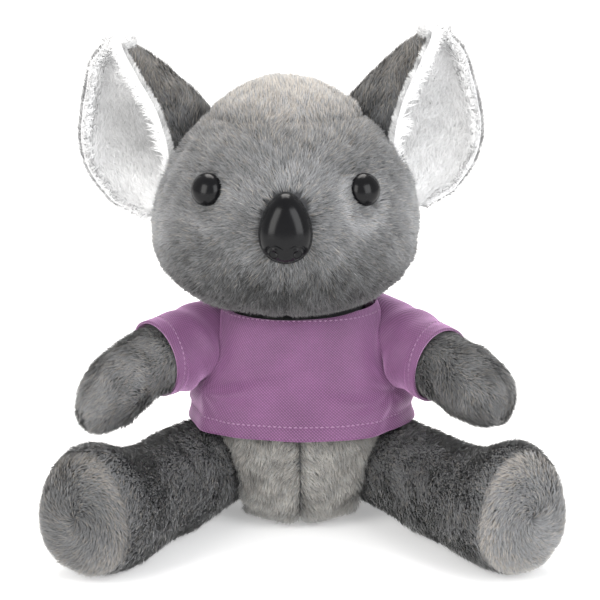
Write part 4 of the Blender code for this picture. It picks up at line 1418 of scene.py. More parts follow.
def fitting_seat(washer: str) -> Seat:
    """Returns the seat on the fur cloth of the fitting that a washer holds.

    Args:
        washer: the washer's node.

    Returns:
        The seat.
    """
    ring = node_points(washer)
    middle = ring.mean(0)
    ahead = np.linalg.svd(ring - middle, full_matrices=False)[2][2]
    ahead = ahead * -np.sign(ahead[1])
    return seat_facing(middle + ahead * WASHER_TO_CLOTH, ahead)


@dataclass
class Eye:
    """A glossy domed eye on its shank."""

    side: Side
    finishes: Finishes
    diameter: float = 11.8 * MM
    dome: float = 4.5 * MM
    sunk: float = 1.9 * MM
    shank: float = 1.7 * MM
    depth: float = 5.2 * MM
    pressed: float = 1.0 * MM
    rim: float = 0.5 * MM
    columns: int = 56

    def build(self) -> bpy.types.Object:
        """Turns the eye's outline about its axis: x = r cos u, y = r sin u, z = h.

        The outline is a shank, a rounded rim and an oval dome: r = R sin t, h = D cos t.

        Returns:
            The eye, as one piece.
        """
        radius = 0.5 * self.diameter
        t = np.linspace(0.5 * math.pi, 0.0, 26)
        dome = np.stack([radius * np.sin(t), self.dome * np.cos(t)], axis=1)
        rim = np.linspace(-0.5 * math.pi, 0.0, 8)
        inward, upward = self.rim * (1 - np.cos(rim)), self.rim * (1 + np.sin(rim))
        edge = np.stack([radius - inward, -self.sunk + upward], axis=1)
        stem = [(0.0, -self.depth), (self.shank, -self.depth), (self.shank, -self.sunk - 0.1 * MM)]
        outline = np.vstack([stem, edge, dome]) - [0.0, self.pressed]
        angles = TAU * np.arange(self.columns) / self.columns
        ring = np.stack([np.cos(angles), np.sin(angles)], axis=1)
        heights = np.repeat(outline[:, None, 1:], self.columns, axis=1)
        grid = np.concatenate([outline[:, None, :1] * ring[None], heights], axis=-1)
        vertices, faces = closed_shell(eye_seat(self.side).world(grid))
        name = f"eye_{self.side.value}"
        piece = add_piece(f"{name}_dome", vertices, faces, self.finishes.black_gloss)
        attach(piece, "head")
        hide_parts(name)
        return piece


@dataclass
class Nose:
    """The glossy egg-shaped nose, with two ringed nostrils under a brow line."""

    finishes: Finishes
    width: float = 18.6 * MM
    height: float = 25.2 * MM
    dome: float = 7.8 * MM
    sunk: float = 2.2 * MM
    egg: float = 0.2
    nostril_apart: float = 8.2 * MM
    nostril_drop: float = 8.7 * MM
    behind: float = 3.0 * MM
    columns: int = 180

    def build(self) -> bpy.types.Object:
        """Builds the egg: x = a(t) cos u (1 - e sin u), y = b(t) sin u, z = h(t).

        The outline runs from its underside's middle over a rounded rim to the apex, with a and b
        falling as sin^0.8 t and h rising as cos^0.9 t. The muzzle below the brow is a little lower, and
        each nostril is a raised ring round a pit.

        Returns:
            The nose, as one piece.
        """
        t = np.linspace(0.5 * math.pi, 0.0, 92)
        spread, rise = np.sin(t) ** 0.8, self.dome * np.cos(t) ** 0.9
        back = -self.sunk - self.behind
        under = np.array([[0.0, back], [0.5, back], [0.9, -self.sunk]])
        rows = np.vstack([under, np.stack([spread, rise], axis=1)])
        angles = TAU * np.arange(self.columns) / self.columns
        x = 0.5 * self.width * rows[:, :1] * np.cos(angles) * (1.0 - self.egg * np.sin(angles))
        y = 0.5 * self.height * rows[:, :1] * np.sin(angles)
        grid = np.stack([x, y, np.repeat(rows[:, 1:], self.columns, axis=1)], axis=-1)
        outward = grid_normals(grid, True)
        grid -= outward * (self.carving(x, y) * ease(rows[:, 1:], 0.0, 1.5 * MM))[..., None]
        seat = fitting_seat("nose_washer")
        vertices, faces = closed_shell(seat.world(grid))
        piece = add_piece("nose_shell", vertices, faces, self.finishes.black_gloss)
        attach(piece, "head")
        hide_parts("nose")
        return piece

    def carving(self, x: Array, y: Array) -> Array:
        """Returns how deep the nose is carved, at places across it.

        The brow is at y = B + 0.7 mm cos(pi (|x| - N) / N), N being where the nostrils lie. Below it
        the muzzle is 0.45 mm lower. A nostril is a pit in a ring that stands 0.35 mm high.

        Args:
            x: how far across each place is.
            y: how far up it is.

        Returns:
            The depths.
        """
        half = 0.5 * self.nostril_apart
        brow = -self.nostril_drop + 2.5 * MM + 0.7 * MM * np.cos(math.pi * (np.abs(x) - half) / half)
        below = ease(brow - y, -0.45 * MM, 0.5 * MM)
        depth = 0.45 * MM * below * ease(7.6 * MM - np.abs(x), 0.0, 1.6 * MM)
        for sign in (-1.0, 1.0):
            off = np.hypot(x - sign * half, y + self.nostril_drop)
            depth -= 0.35 * MM * bell(off - 1.55 * MM, 0.6 * MM)
            depth += 0.55 * MM * bell(off, 0.85 * MM)
        return depth


@dataclass
class Ear:
    """A cup ear: a grey back and a white lining of long pile, sewn at the rim."""

    side: Side
    neck: Array
    finishes: Finishes
    height: float = 65.0 * MM
    width: float = 47.0 * MM
    depth: float = 26.0 * MM
    sweep: tuple[float, float] = (192.0, -78.0)
    cloth: float = 0.8 * MM
    lining_inset: float = 2.8 * MM
    rolls: tuple[float, float] = (0.09, 0.026)
    rows: int = 64
    columns: int = 120

    def __post_init__(self) -> None:
        """Works out the ear's seat and lean."""
        foot = {Side.LEFT: 0.0315, Side.RIGHT: 0.0355}[self.side]
        out = {Side.LEFT: 0.045, Side.RIGHT: 0.042}[self.side]
        self.lean = {Side.LEFT: 0.016, Side.RIGHT: 0.012}[self.side]
        self.origin = self.neck + np.array([self.side.sign * out, 0.008, foot])

    def leaf(
        self, inset: float, beyond: tuple[float, float], rolled: bool = False, top: float = 1.0
    ) -> Array:
        """Returns the ear's cupped leaf as a grid, from foot to tip and from outer to inner rim.

        At a height share v a section has its middle out(v), half width w(v) and half depth d(v), which a
        smooth curve takes through the table. Round the section, at an angle t from the sweep's start to
        its end: x = out lean - w cos t, y = d sin t, z = v height. A rolled leaf's inset falls to minus
        a third of itself over the roll's share of the sweep at both rims, and at the tip. Away from them
        it lies 0.12 of the way to the straight line between its rims, as its thick pile fills the cup.

        Args:
            inset: how far inside the ear's form the leaf lies.
            beyond: how many degrees it goes beyond the sweep at its outer and its inner rim.
            rolled: whether it rolls over at its rims.
            top: the height share that it ends at.

        Returns:
            The grid, rows x columns x 3, about the ear's own origin.
        """
        table = np.array(EAR_SECTIONS)
        v = np.linspace(0.0, top, self.rows)
        out, wide, deep = (smooth_curve(table[:, 0], table[:, k], v) for k in (1, 2, 3))
        ends = self.sweep[0] + beyond[0], self.sweep[1] - beyond[1]
        t = np.radians(np.linspace(*ends, self.columns))[None, :]
        share = np.linspace(0.0, 1.0, self.columns)[None, :]
        tip = 1.6 * (1.0 - v)[:, None]
        if rolled:
            edge = np.minimum(share / self.rolls[0], (1.0 - share) / self.rolls[1])
            edge = np.minimum(edge, tip / self.rolls[0])
            inset = inset * (1.0 - 1.33 * (1.0 - ease(edge, 0.0, 1.0)))
        half = 0.5 * self.width * wide[:, None] - inset
        reach = 0.5 * self.depth * deep[:, None] - inset
        x = self.side.sign * (out[:, None] * self.lean - half * np.cos(t))
        y = reach * np.sin(t)
        z = np.repeat(v[:, None] * self.height, self.columns, axis=1)
        grid = np.stack([x, y, z], axis=-1)
        if rolled:
            across = share[..., None]
            line = (1.0 - across) * grid[:, :1] + across * grid[:, -1:]
            rim = np.minimum(np.minimum(share, 1.0 - share), tip)
            grid += 0.12 * ease(rim, 0.09, 0.32)[..., None] * (line - grid)
        return grid

    def build(self) -> list[bpy.types.Object]:
        """Builds the two leaves and their piles.

        Returns:
            The two leaves and their piles.
        """
        grown = []
        for layer, leaf, material in (
            ("back", self.leaf(1.2 * MM, (-12.0, -3.4), top=0.965), self.finishes.grey_backing),
            ("lining", self.lining(), self.finishes.white_backing),
        ):
            grid = leaf + self.origin
            if self.side is Side.LEFT:
                grid = grid[:, ::-1]
            quads, _ = grid_faces(self.rows, self.columns, False)
            name = f"ear_{layer}_{self.side.value}"
            piece = add_piece(f"{name}_cloth", grid.reshape(-1, 3), [quads], material)
            thicken(piece, self.cloth, even=False)
            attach(piece, "head")
            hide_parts(name)
            grown += [piece, self.pile(layer, piece)]
        return [*grown, self.pile("rim", piece)]

    def lining(self) -> Array:
        """Returns the lining's grid."""
        return self.leaf(self.lining_inset, (3.0, 1.0), rolled=True)

    def comb(self, roots: Array, normals: Array) -> Comb:
        """Returns the ear's comb: up to the tip and out to the rim.

        Args:
            roots: where the strands start, (n, 3).
            normals: the cloth's normals there.

        Returns:
            The comb.
        """
        local = roots - self.origin
        way = np.array([0.25 * self.side.sign, 0.0, 1.0])
        direction = along_surface(way + 0.35 * swirl(local, 0.016, 11), normals)
        # The tone rises from the ear's foot to its tip: painted shade beside the head, painted light higher
        # up.
        tone = 0.06 + 0.24 * ease(local[:, 2], 0.012, 0.050) + 0.06 * drift(local, 0.007, 14)
        warmth = 0.1 + 0.5 * ease(local[:, 2], 0.030, 0.056)
        return Comb(direction, np.ones(len(roots)), 1.0 + 0.2 * drift(local, 0.01, 15), tone, warmth)

    def lining_comb(self, roots: Array, normals: Array) -> Comb:
        """Returns the lining's comb: from the fold out over the rim, longest and loosest at the rim.

        Args:
            roots: where the strands start, (n, 3).
            normals: the cloth's normals there.

        Returns:
            The comb.
        """
        local = roots - self.origin
        fold = np.array([self.side.sign * -0.002, 0.006, -0.014])
        away = local - fold
        away[:, 1] *= 0.4
        near = ease(-self.turned(roots), -1.0, -0.4)[:, None]
        way = (1.0 - near) * unit(away) + near * np.array([0.0, -1.0, 0.35])
        direction = along_surface(way + 0.25 * swirl(local, 0.012, 16), normals)
        # The grey in the cup's hollow is painted shade, deeper in the left ear than in the right.
        hollow_shade = ease(local[:, 1], 0.002, 0.010) * ease(local[:, 2], 0.004, 0.024)
        hollow_shade *= 1.0 - ease(local[:, 2], 0.038, 0.056)
        deep = {Side.LEFT: 0.85, Side.RIGHT: 0.40}[self.side]
        tone = 0.97 + 0.06 * drift(local, 0.007, 19) - deep * hollow_shade
        rim = ease(-local[:, 1], -0.004, 0.010)
        inward = -self.side.sign * local[:, 0] + self.lean * 0.3
        tight = ease(inward, 0.010, 0.021)
        lift = 1.0 - 0.25 * rim + 0.8 * tight
        return Comb(direction, (0.8 + 0.3 * rim) * (1.0 - 0.5 * tight), lift, tone, np.full(len(roots), 0.3))

    def rim_comb(self, roots: Array, normals: Array) -> Comb:
        """Returns the comb of the lining's turned edge: up, and back over the grey cloth.

        Args:
            roots: where the strands start, (n, 3).
            normals: the cloth's normals there.

        Returns:
            The comb.
        """
        local = roots - self.origin
        way = np.array([-0.45 * self.side.sign, 0.40, 0.80]) + 0.35 * swirl(local, 0.009, 61)
        ones = np.ones(len(roots))
        # The turned edge's white pile is painted darker than the lining's, to offset the direct light that
        # falls on it.
        tone = 0.45 + 0.15 * drift(local, 0.007, 64)
        return Comb(along_surface(way, normals), 0.55 * ones, ones, tone, 0.3 * ones)

    def turned(self, world: Array) -> Array:
        """Returns the distance of each place from the lining's edge over the turned edge's width there.

        Args:
            world: places in the world, (n, 3).

        Returns:
            The shares, 1 or less.
        """
        leaf = self.lining()
        share = np.ones(len(world))
        for rim, wide in ((leaf[:, 0], 4.8 * MM), (leaf[:, -1], 1.5 * MM), (leaf[-1], 4.8 * MM)):
            for point in rim + self.origin:
                share = np.minimum(share, np.linalg.norm(world - point, axis=1) / wide)
        return share

    def between(self, low: float, high: float, world: Array) -> Array:
        """Returns which points are between two shares of the turned edge's width."""
        share = self.turned(world)
        return (share > low) & (share < high)

    def pile(self, layer: str, cloth: bpy.types.Object) -> bpy.types.Object:
        """Grows the pile of the back, of the lining's inner side or of its turned edge.

        Args:
            layer: back, rim or lining.
            cloth: the cloth that it grows on.

        Returns:
            The pile, as one piece.
        """
        name = f"ear_{layer}_{self.side.value}_pile"
        if layer == "back":
            pile = Pile(
                length=3.6 * MM, width=0.305 * MM, per_mm2=6.6, lift=0.36, scatter=0.28, mottle=0.075, seed=31
            )
            covers = partial(self.between, 0.86, math.inf)
            piece = pile.grow(name, cloth.data, self.comb, covers, self.finishes.face_pile)
        elif layer == "rim":
            pile = Pile(
                length=4.2 * MM, width=0.32 * MM, per_mm2=20.0,
                lift=0.5, scatter=0.6, mottle=0.10, seed=43, soften=0.8,
            )
            covers = partial(self.between, -math.inf, 0.999)
            piece = pile.grow(name, cloth.data, self.rim_comb, covers, self.finishes.white_pile)
        else:
            mesh = cloth.data.copy()
            places, outwards, _ = vertex_arrays(mesh)
            mesh.flip_normals()
            move_vertices(mesh, places - outwards * self.cloth)
            pile = Pile(
                length=5.4 * MM, width=0.345 * MM, per_mm2=7.6,
                lift=0.5, scatter=0.42, mottle=0.07, seed=41, soften=0.95,
            )
            piece = pile.grow(name, mesh, self.lining_comb, everywhere, self.finishes.white_pile)
            bpy.data.meshes.remove(mesh)
        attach(piece, "head")
        return piece


def everywhere(points: Array) -> Array:
    """Returns that each point has pile."""
    return np.ones(len(points), bool)


def smooth_curve(places: Array, values: Array, at: Array) -> Array:
    """Returns values on a Catmull-Rom curve through a table, by place.

    Args:
        places: the table's places, rising.
        values: its values.
        at: where the curve is read.

    Returns:
        The values there.
    """
    lower = np.clip(np.searchsorted(places, at, side="right") - 1, 0, len(places) - 2)
    before, after = np.maximum(lower - 1, 0), np.minimum(lower + 2, len(places) - 1)
    s = (at - places[lower]) / (places[lower + 1] - places[lower])
    a, b, c, d = values[before], values[lower], values[lower + 1], values[after]
    bend = (2 * a - 5 * b + 4 * c - d) * s**2 + (3 * b - a - 3 * c + d) * s**3
    return b + 0.5 * ((c - a) * s + bend)


@dataclass
class Limb(Sewn):
    """A stuffed arm or leg: its seat at the joint, its form, its creases and its pile."""

    name: str
    side: Side
    seat: Seat
    form: RingForm
    finishes: Finishes
    sunk: float = 1.5 * MM

    @property
    def label(self) -> str:
        """The limb's name with its side."""
        return f"{self.name}_{self.side.value}"

    def seam_distance(self, local: Array) -> Array:
        """Returns each local point's distance to the nearest seam."""
        return np.abs(local[:, 0])

    def creases(self, local: Array) -> Array:
        """Returns how far each point of the skin rises or sinks."""
        return 0.4 * MM * drift(local, 0.03, 51)

    def between(self, low: float, high: float, world: Array) -> Array:
        """Returns which points are between two places along the limb."""
        along = self.seat.local(world)[:, 2]
        return (along > low) & (along <= high)

    def nodes(self) -> list[str]:
        """Returns the CAD nodes that the skin stands for."""
        return [f"{self.name}_panel_a_{self.side.value}", f"{self.name}_panel_b_{self.side.value}"]

    def skin(self) -> bpy.types.Object:
        """Builds the stuffed skin: the drawn-in form with its creases, swollen between its seams.

        Returns:
            The skin, as one piece.
        """
        grid = self.form.surface(84, 72, self.sunk + SWELL_ROOM)
        rise = self.creases(grid.reshape(-1, 3)).reshape(grid.shape[:2])
        vertices, faces = closed_shell(self.seat.world(grid + shell_normals(grid) * rise[..., None]))
        vertices[:, 2] = np.maximum(vertices[:, 2], SKIN_FLOOR)
        piece = add_piece(f"{self.label}_skin", vertices, faces, self.finishes.grey_backing)
        Stuffing(most=0.9 * MM).swell(piece, partial(self.held, 0.0015))
        smooth(piece)
        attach(piece, self.label)
        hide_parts(*self.nodes(), f"{self.name}_fill_{self.side.value}")
        return piece


@dataclass
class Leg(Limb):
    """A leg that ends in a big round foot with a pale sole."""

    sole_seam: float = 0.0845
    pile_from: float = -0.012

    def nodes(self) -> list[str]:
        """Returns the leg's panels and its sole."""
        return [*super().nodes(), f"foot_sole_{self.side.value}"]

    def seam_distance(self, local: Array) -> Array:
        """Returns the distance to the panels' seams, before the sole, or to the sole's."""
        panels = np.abs(local[:, 0]) + FAR * (local[:, 2] > self.sole_seam)
        return np.minimum(panels, np.abs(local[:, 2] - self.sole_seam))

    def creases(self, local: Array) -> Array:
        """Returns the uneven fill, less two creases across the top of the ankle and the thigh.

        Args:
            local: places in the part's own frame, (n, 3).

        Returns:
            How far each point rises.
        """
        rise = 0.5 * MM * drift(local, 0.032, 52)
        top = ease(local[:, 1], -0.008, 0.006)
        for place, depth, width in ((0.040, 0.9 * MM, 0.0036), (0.028, 0.6 * MM, 0.0030)):
            line = local[:, 2] - place - 0.25 * local[:, 0] * self.side.sign + 0.35 * local[:, 1]
            rise -= depth * bell(line, width) * top
        return rise

    def comb(self, roots: Array, normals: Array) -> Comb:
        """Returns the leg's comb: down the leg, and in a whorl over the sole.

        Args:
            roots: where the strands start, (n, 3).
            normals: the cloth's normals there.

        Returns:
            The comb.
        """
        local = self.seat.local(roots)
        sole = ease(local[:, 2], self.sole_seam - 0.003, self.sole_seam + 0.001)[:, None]
        centre = np.array([0.0, 0.005, self.sole_seam])
        off = local - centre
        whorl = np.cross([0.0, 0.0, 1.0], off) * self.side.sign + 0.7 * off * [1.0, 1.0, 0.0]
        down = np.array([0.0, -0.30, 1.0])
        way = (1 - sole) * down + sole * unit(whorl) + 0.17 * swirl(local, 0.02, 53)
        seam = bell(self.seam_distance(local), 0.0012)
        edge = ease(np.hypot(off[:, 0], off[:, 1]), 0.010, 0.020) * sole[:, 0]
        tone = 0.40 + 0.045 * drift(local, 0.016, 56) + 0.03 * drift(local, 0.005, 57) - 0.12 * seam
        tone += 0.16 * edge + 0.06 * ease(local[:, 2], 0.05, 0.08)
        # The right sole is painted lighter and the left one darker: painted light from the right.
        tone += (0.05 + 0.16 * self.side.sign) * sole[:, 0]
        warmth = 0.12 + 0.45 * edge
        lift = 1.0 + 0.15 * drift(local, 0.011, 58)
        direction = along_surface(self.seat.direction(way), normals)
        return Comb(direction, 1.0 - 0.25 * seam, lift, tone, warmth)

    def piles(self, skin: bpy.types.Object) -> list[bpy.types.Object]:
        """Grows the leg's pile and the sole's, but not in the hip's socket.

        Args:
            skin: the skin that it grows on.

        Returns:
            The piles.
        """
        grown = []
        for name, low, high, density, slot in (
            (f"{self.label}_pile", self.pile_from, self.sole_seam, 5.0, "grey_fur"),
            (f"foot_sole_{self.side.value}_pile", self.sole_seam, math.inf, 8.0, "pale_fur"),
        ):
            pile = Pile(
                length=3.5 * MM, width=0.385 * MM, per_mm2=density,
                lift=0.45, scatter=0.26, mottle=0.05, seed=61,
            )
            covers = partial(self.between, low, high)
            piece = pile.grow(name, skin.data, self.comb, covers, self.finishes.leg_pile)
            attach(piece, self.label)
            grown.append(piece)
        return grown


@dataclass
class Arm(Limb):
    """An arm that bends down a little and ends in a rounded paw."""

    pile_from: float = 0.019

    def comb(self, roots: Array, normals: Array) -> Comb:
        """Returns the arm's comb: along the arm to the paw's tip.

        Args:
            roots: where the strands start, (n, 3).
            normals: the cloth's normals there.

        Returns:
            The comb.
        """
        local = self.seat.local(roots)
        way = np.array([0.0, -0.35, 1.0]) + 0.40 * swirl(local, 0.018, 71)
        seam = bell(self.seam_distance(local), 0.0012)
        # The left arm's pile is painted lighter than the right one's: painted light and shade by side.
        tone = 0.18 - 0.10 * self.side.sign
        tone = tone + 0.08 * drift(local, 0.010, 74) + 0.05 * drift(local, 0.005, 75) - 0.18 * seam
        tone += 0.10 * ease(local[:, 2], 0.03, 0.055)
        direction = along_surface(self.seat.direction(way), normals)
        ones = np.ones(len(roots))
        lift = 1.0 + 0.3 * drift(local, 0.011, 76)
        return Comb(direction, 1.0 - 0.25 * seam, lift, tone, 0.2 * ones)

    def piles(self, skin: bpy.types.Object) -> list[bpy.types.Object]:
        """Grows the arm's pile, from just inside the sleeve's hem outwards.

        Args:
            skin: the skin that it grows on.

        Returns:
            The pile.
        """
        pile = Pile(
            length=3.8 * MM, width=0.30 * MM, per_mm2=7.6, lift=0.46, scatter=0.28, mottle=0.075, seed=81
        )
        covers = partial(self.between, self.pile_from, math.inf)
        piece = pile.grow(f"{self.label}_pile", skin.data, self.comb, covers, self.finishes.grey_pile)
        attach(piece, self.label)
        return [piece]


@dataclass
class Torso(Sewn):
    """The torso: a stuffed skin with two belly panels and a back panel, hollowed for the limbs' roots."""

    root: Array
    head: Head
    sockets: list[SweptRoot]
    finishes: Finishes
    sunk: float = 1.5 * MM
    form: RingForm = RingForm(TORSO_RINGS, (-0.0375, -0.036, -0.0005), (0.0375, 0.031, 0.082))
    side_seam: float = 0.003
    pile_top: float = 0.043

    def __post_init__(self) -> None:
        """Works out the torso's seat."""
        self.seat = Seat(self.root, np.eye(3))

    def seam_distance(self, local: Array) -> Array:
        """Returns the distance to the belly's middle seam or to the side seams."""
        middle = np.abs(local[:, 0]) + FAR * (local[:, 1] > -0.005)
        return np.minimum(middle, np.abs(local[:, 1] - self.side_seam))

    def skin(self) -> bpy.types.Object:
        """Builds the stuffed skin, lowered under the head and drawn in round the limbs' roots.

        Returns:
            The skin, as one piece.
        """
        grid = self.form.surface(90, 110, self.sunk + SWELL_ROOM)
        vertices, faces = closed_shell(self.seat.world(grid))
        piece = add_piece("torso_skin", vertices, faces, self.finishes.grey_backing)
        Stuffing(most=1.1 * MM).swell(piece, partial(self.held, 0.0015))
        points, _, _ = vertex_arrays(piece.data)
        points[:, 2] = np.clip(points[:, 2], SKIN_FLOOR, self.head.under(points, 1.2 * MM))
        core = self.root + np.array([0.0, 0.006, 0.0])
        for socket in self.sockets:
            points = socket.make_room(points, core)
        move_vertices(piece.data, points)
        smooth(piece)
        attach(piece, "torso")
        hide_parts("belly_panel_left", "belly_panel_right", "torso_back_panel", "torso_fill")
        return piece

    def comb(self, roots: Array, normals: Array) -> Comb:
        """Returns the torso's comb: downwards, and parted along the belly's seam.

        Args:
            roots: where the strands start, (n, 3).
            normals: the cloth's normals there.

        Returns:
            The comb.
        """
        local = self.seat.local(roots)
        part = bell(local[:, 0], 0.008) * (local[:, 1] < 0.0)
        aside = 1.1 * np.sign(local[:, 0]) * part
        way = aside[:, None] * [1.0, 0.0, 0.0] - [0.0, 0.0, 1.0]
        direction = along_surface(way + 0.38 * swirl(local, 0.016, 91), normals)
        seam = bell(self.seam_distance(local), 0.0012)
        tone = 0.46 + 0.10 * drift(local, 0.009, 94) + 0.09 * drift(local, 0.004, 95) - 0.30 * seam
        # Just under the shirt's hem the belly is painted darker: painted shade under the cloth.
        tone -= 0.18 * ease(local[:, 2], 0.032, 0.040)
        lift = 1.0 + 0.3 * drift(local, 0.008, 96) + 0.5 * part
        warmth = 0.45 * (local[:, 1] < self.side_seam) + 0.1
        return Comb(direction, 1.0 - 0.3 * seam, lift, tone, warmth)

    def has_pile(self, front: bool, world: Array) -> Array:
        """Returns which points have pile on the front, or the back: below the shirt, off the sockets.

        Args:
            front: whether the front is meant.
            world: places in the world, (n, 3).

        Returns:
            Whether each point has pile there.
        """
        local = self.seat.local(world)
        shown = ((local[:, 1] < self.side_seam) == front) & (local[:, 2] < self.pile_top)
        for socket in self.sockets:
            shown &= socket.distance(world) > socket.radius + 0.3 * MM
        return shown

    def piles(self, skin: bpy.types.Object) -> list[bpy.types.Object]:
        """Grows the belly's and the back's pile.

        Args:
            skin: the skin that it grows on.

        Returns:
            The piles.
        """
        grown = []
        for name, front, density, finish, slot in (
            ("belly_pile", True, 8.2, self.finishes.belly_pile, "pale_fur"),
            ("torso_back_pile", False, 5.0, self.finishes.grey_pile, "grey_fur"),
        ):
            pile = Pile(
                length=3.9 * MM, width=0.32 * MM, per_mm2=density,
                lift=0.46, scatter=0.28, mottle=0.08, seed=97,
            )
            piece = pile.grow(name, skin.data, self.comb, partial(self.has_pile, front), finish)
            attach(piece, "torso")
            grown.append(piece)
        return grown


def stitches(
    name: str, path: Array, normals: Array, pitch: float, material: bpy.types.Material
) -> bpy.types.Object:
    """Returns a row of running stitches along a closed path on cloth.

    Each stitch is a small flattened spindle: along it, at s from -1 to 1, its radius is
    0.27 sqrt(1 - s^2) mm across and three quarters of that upwards.

    Args:
        name: the piece's name.
        path: the row's points, (n, 3), once round.
        normals: the cloth's normals there.
        pitch: from stitch to stitch.
        material: the thread's finish.

    Returns:
        The row, as one piece.
    """
    closed = np.vstack([path, path[:1]])
    reach = path_reach(closed)
    count = int(reach[-1] / pitch)
    at = (np.arange(count) + 0.5) * reach[-1] / count
    places = along_path(closed, reach, at)
    ups = unit(along_path(np.vstack([normals, normals[:1]]), reach, at))
    ahead = along_surface(along_path(closed, reach, at + 0.2 * pitch, reach[-1]) - places, ups)
    aside = np.cross(ups, ahead)
    s = np.array([-1.0, -0.7, 0.0, 0.7, 1.0])
    angles = TAU * np.arange(6) / 6
    thick = 0.27 * MM * np.sqrt(1.0 - s**2)[:, None]
    across, up = thick * np.cos(angles), 0.75 * thick * np.sin(angles)
    half = 0.33 * pitch
    grid = (
        places[:, None, None] + (ahead[:, None] * (half * s)[None, :, None])[:, :, None]
        + aside[:, None, None] * across[None, ..., None] + ups[:, None, None] * up[None, ..., None]
    )
    one, faces = closed_shell(grid[0])
    shift = len(one) * np.arange(count)[:, None, None]
    vertices = np.vstack([closed_shell(block)[0] for block in grid])
    faces = [(face[None] + shift).reshape(-1, face.shape[1]) for face in faces]
    return add_piece(name, vertices, faces, material)


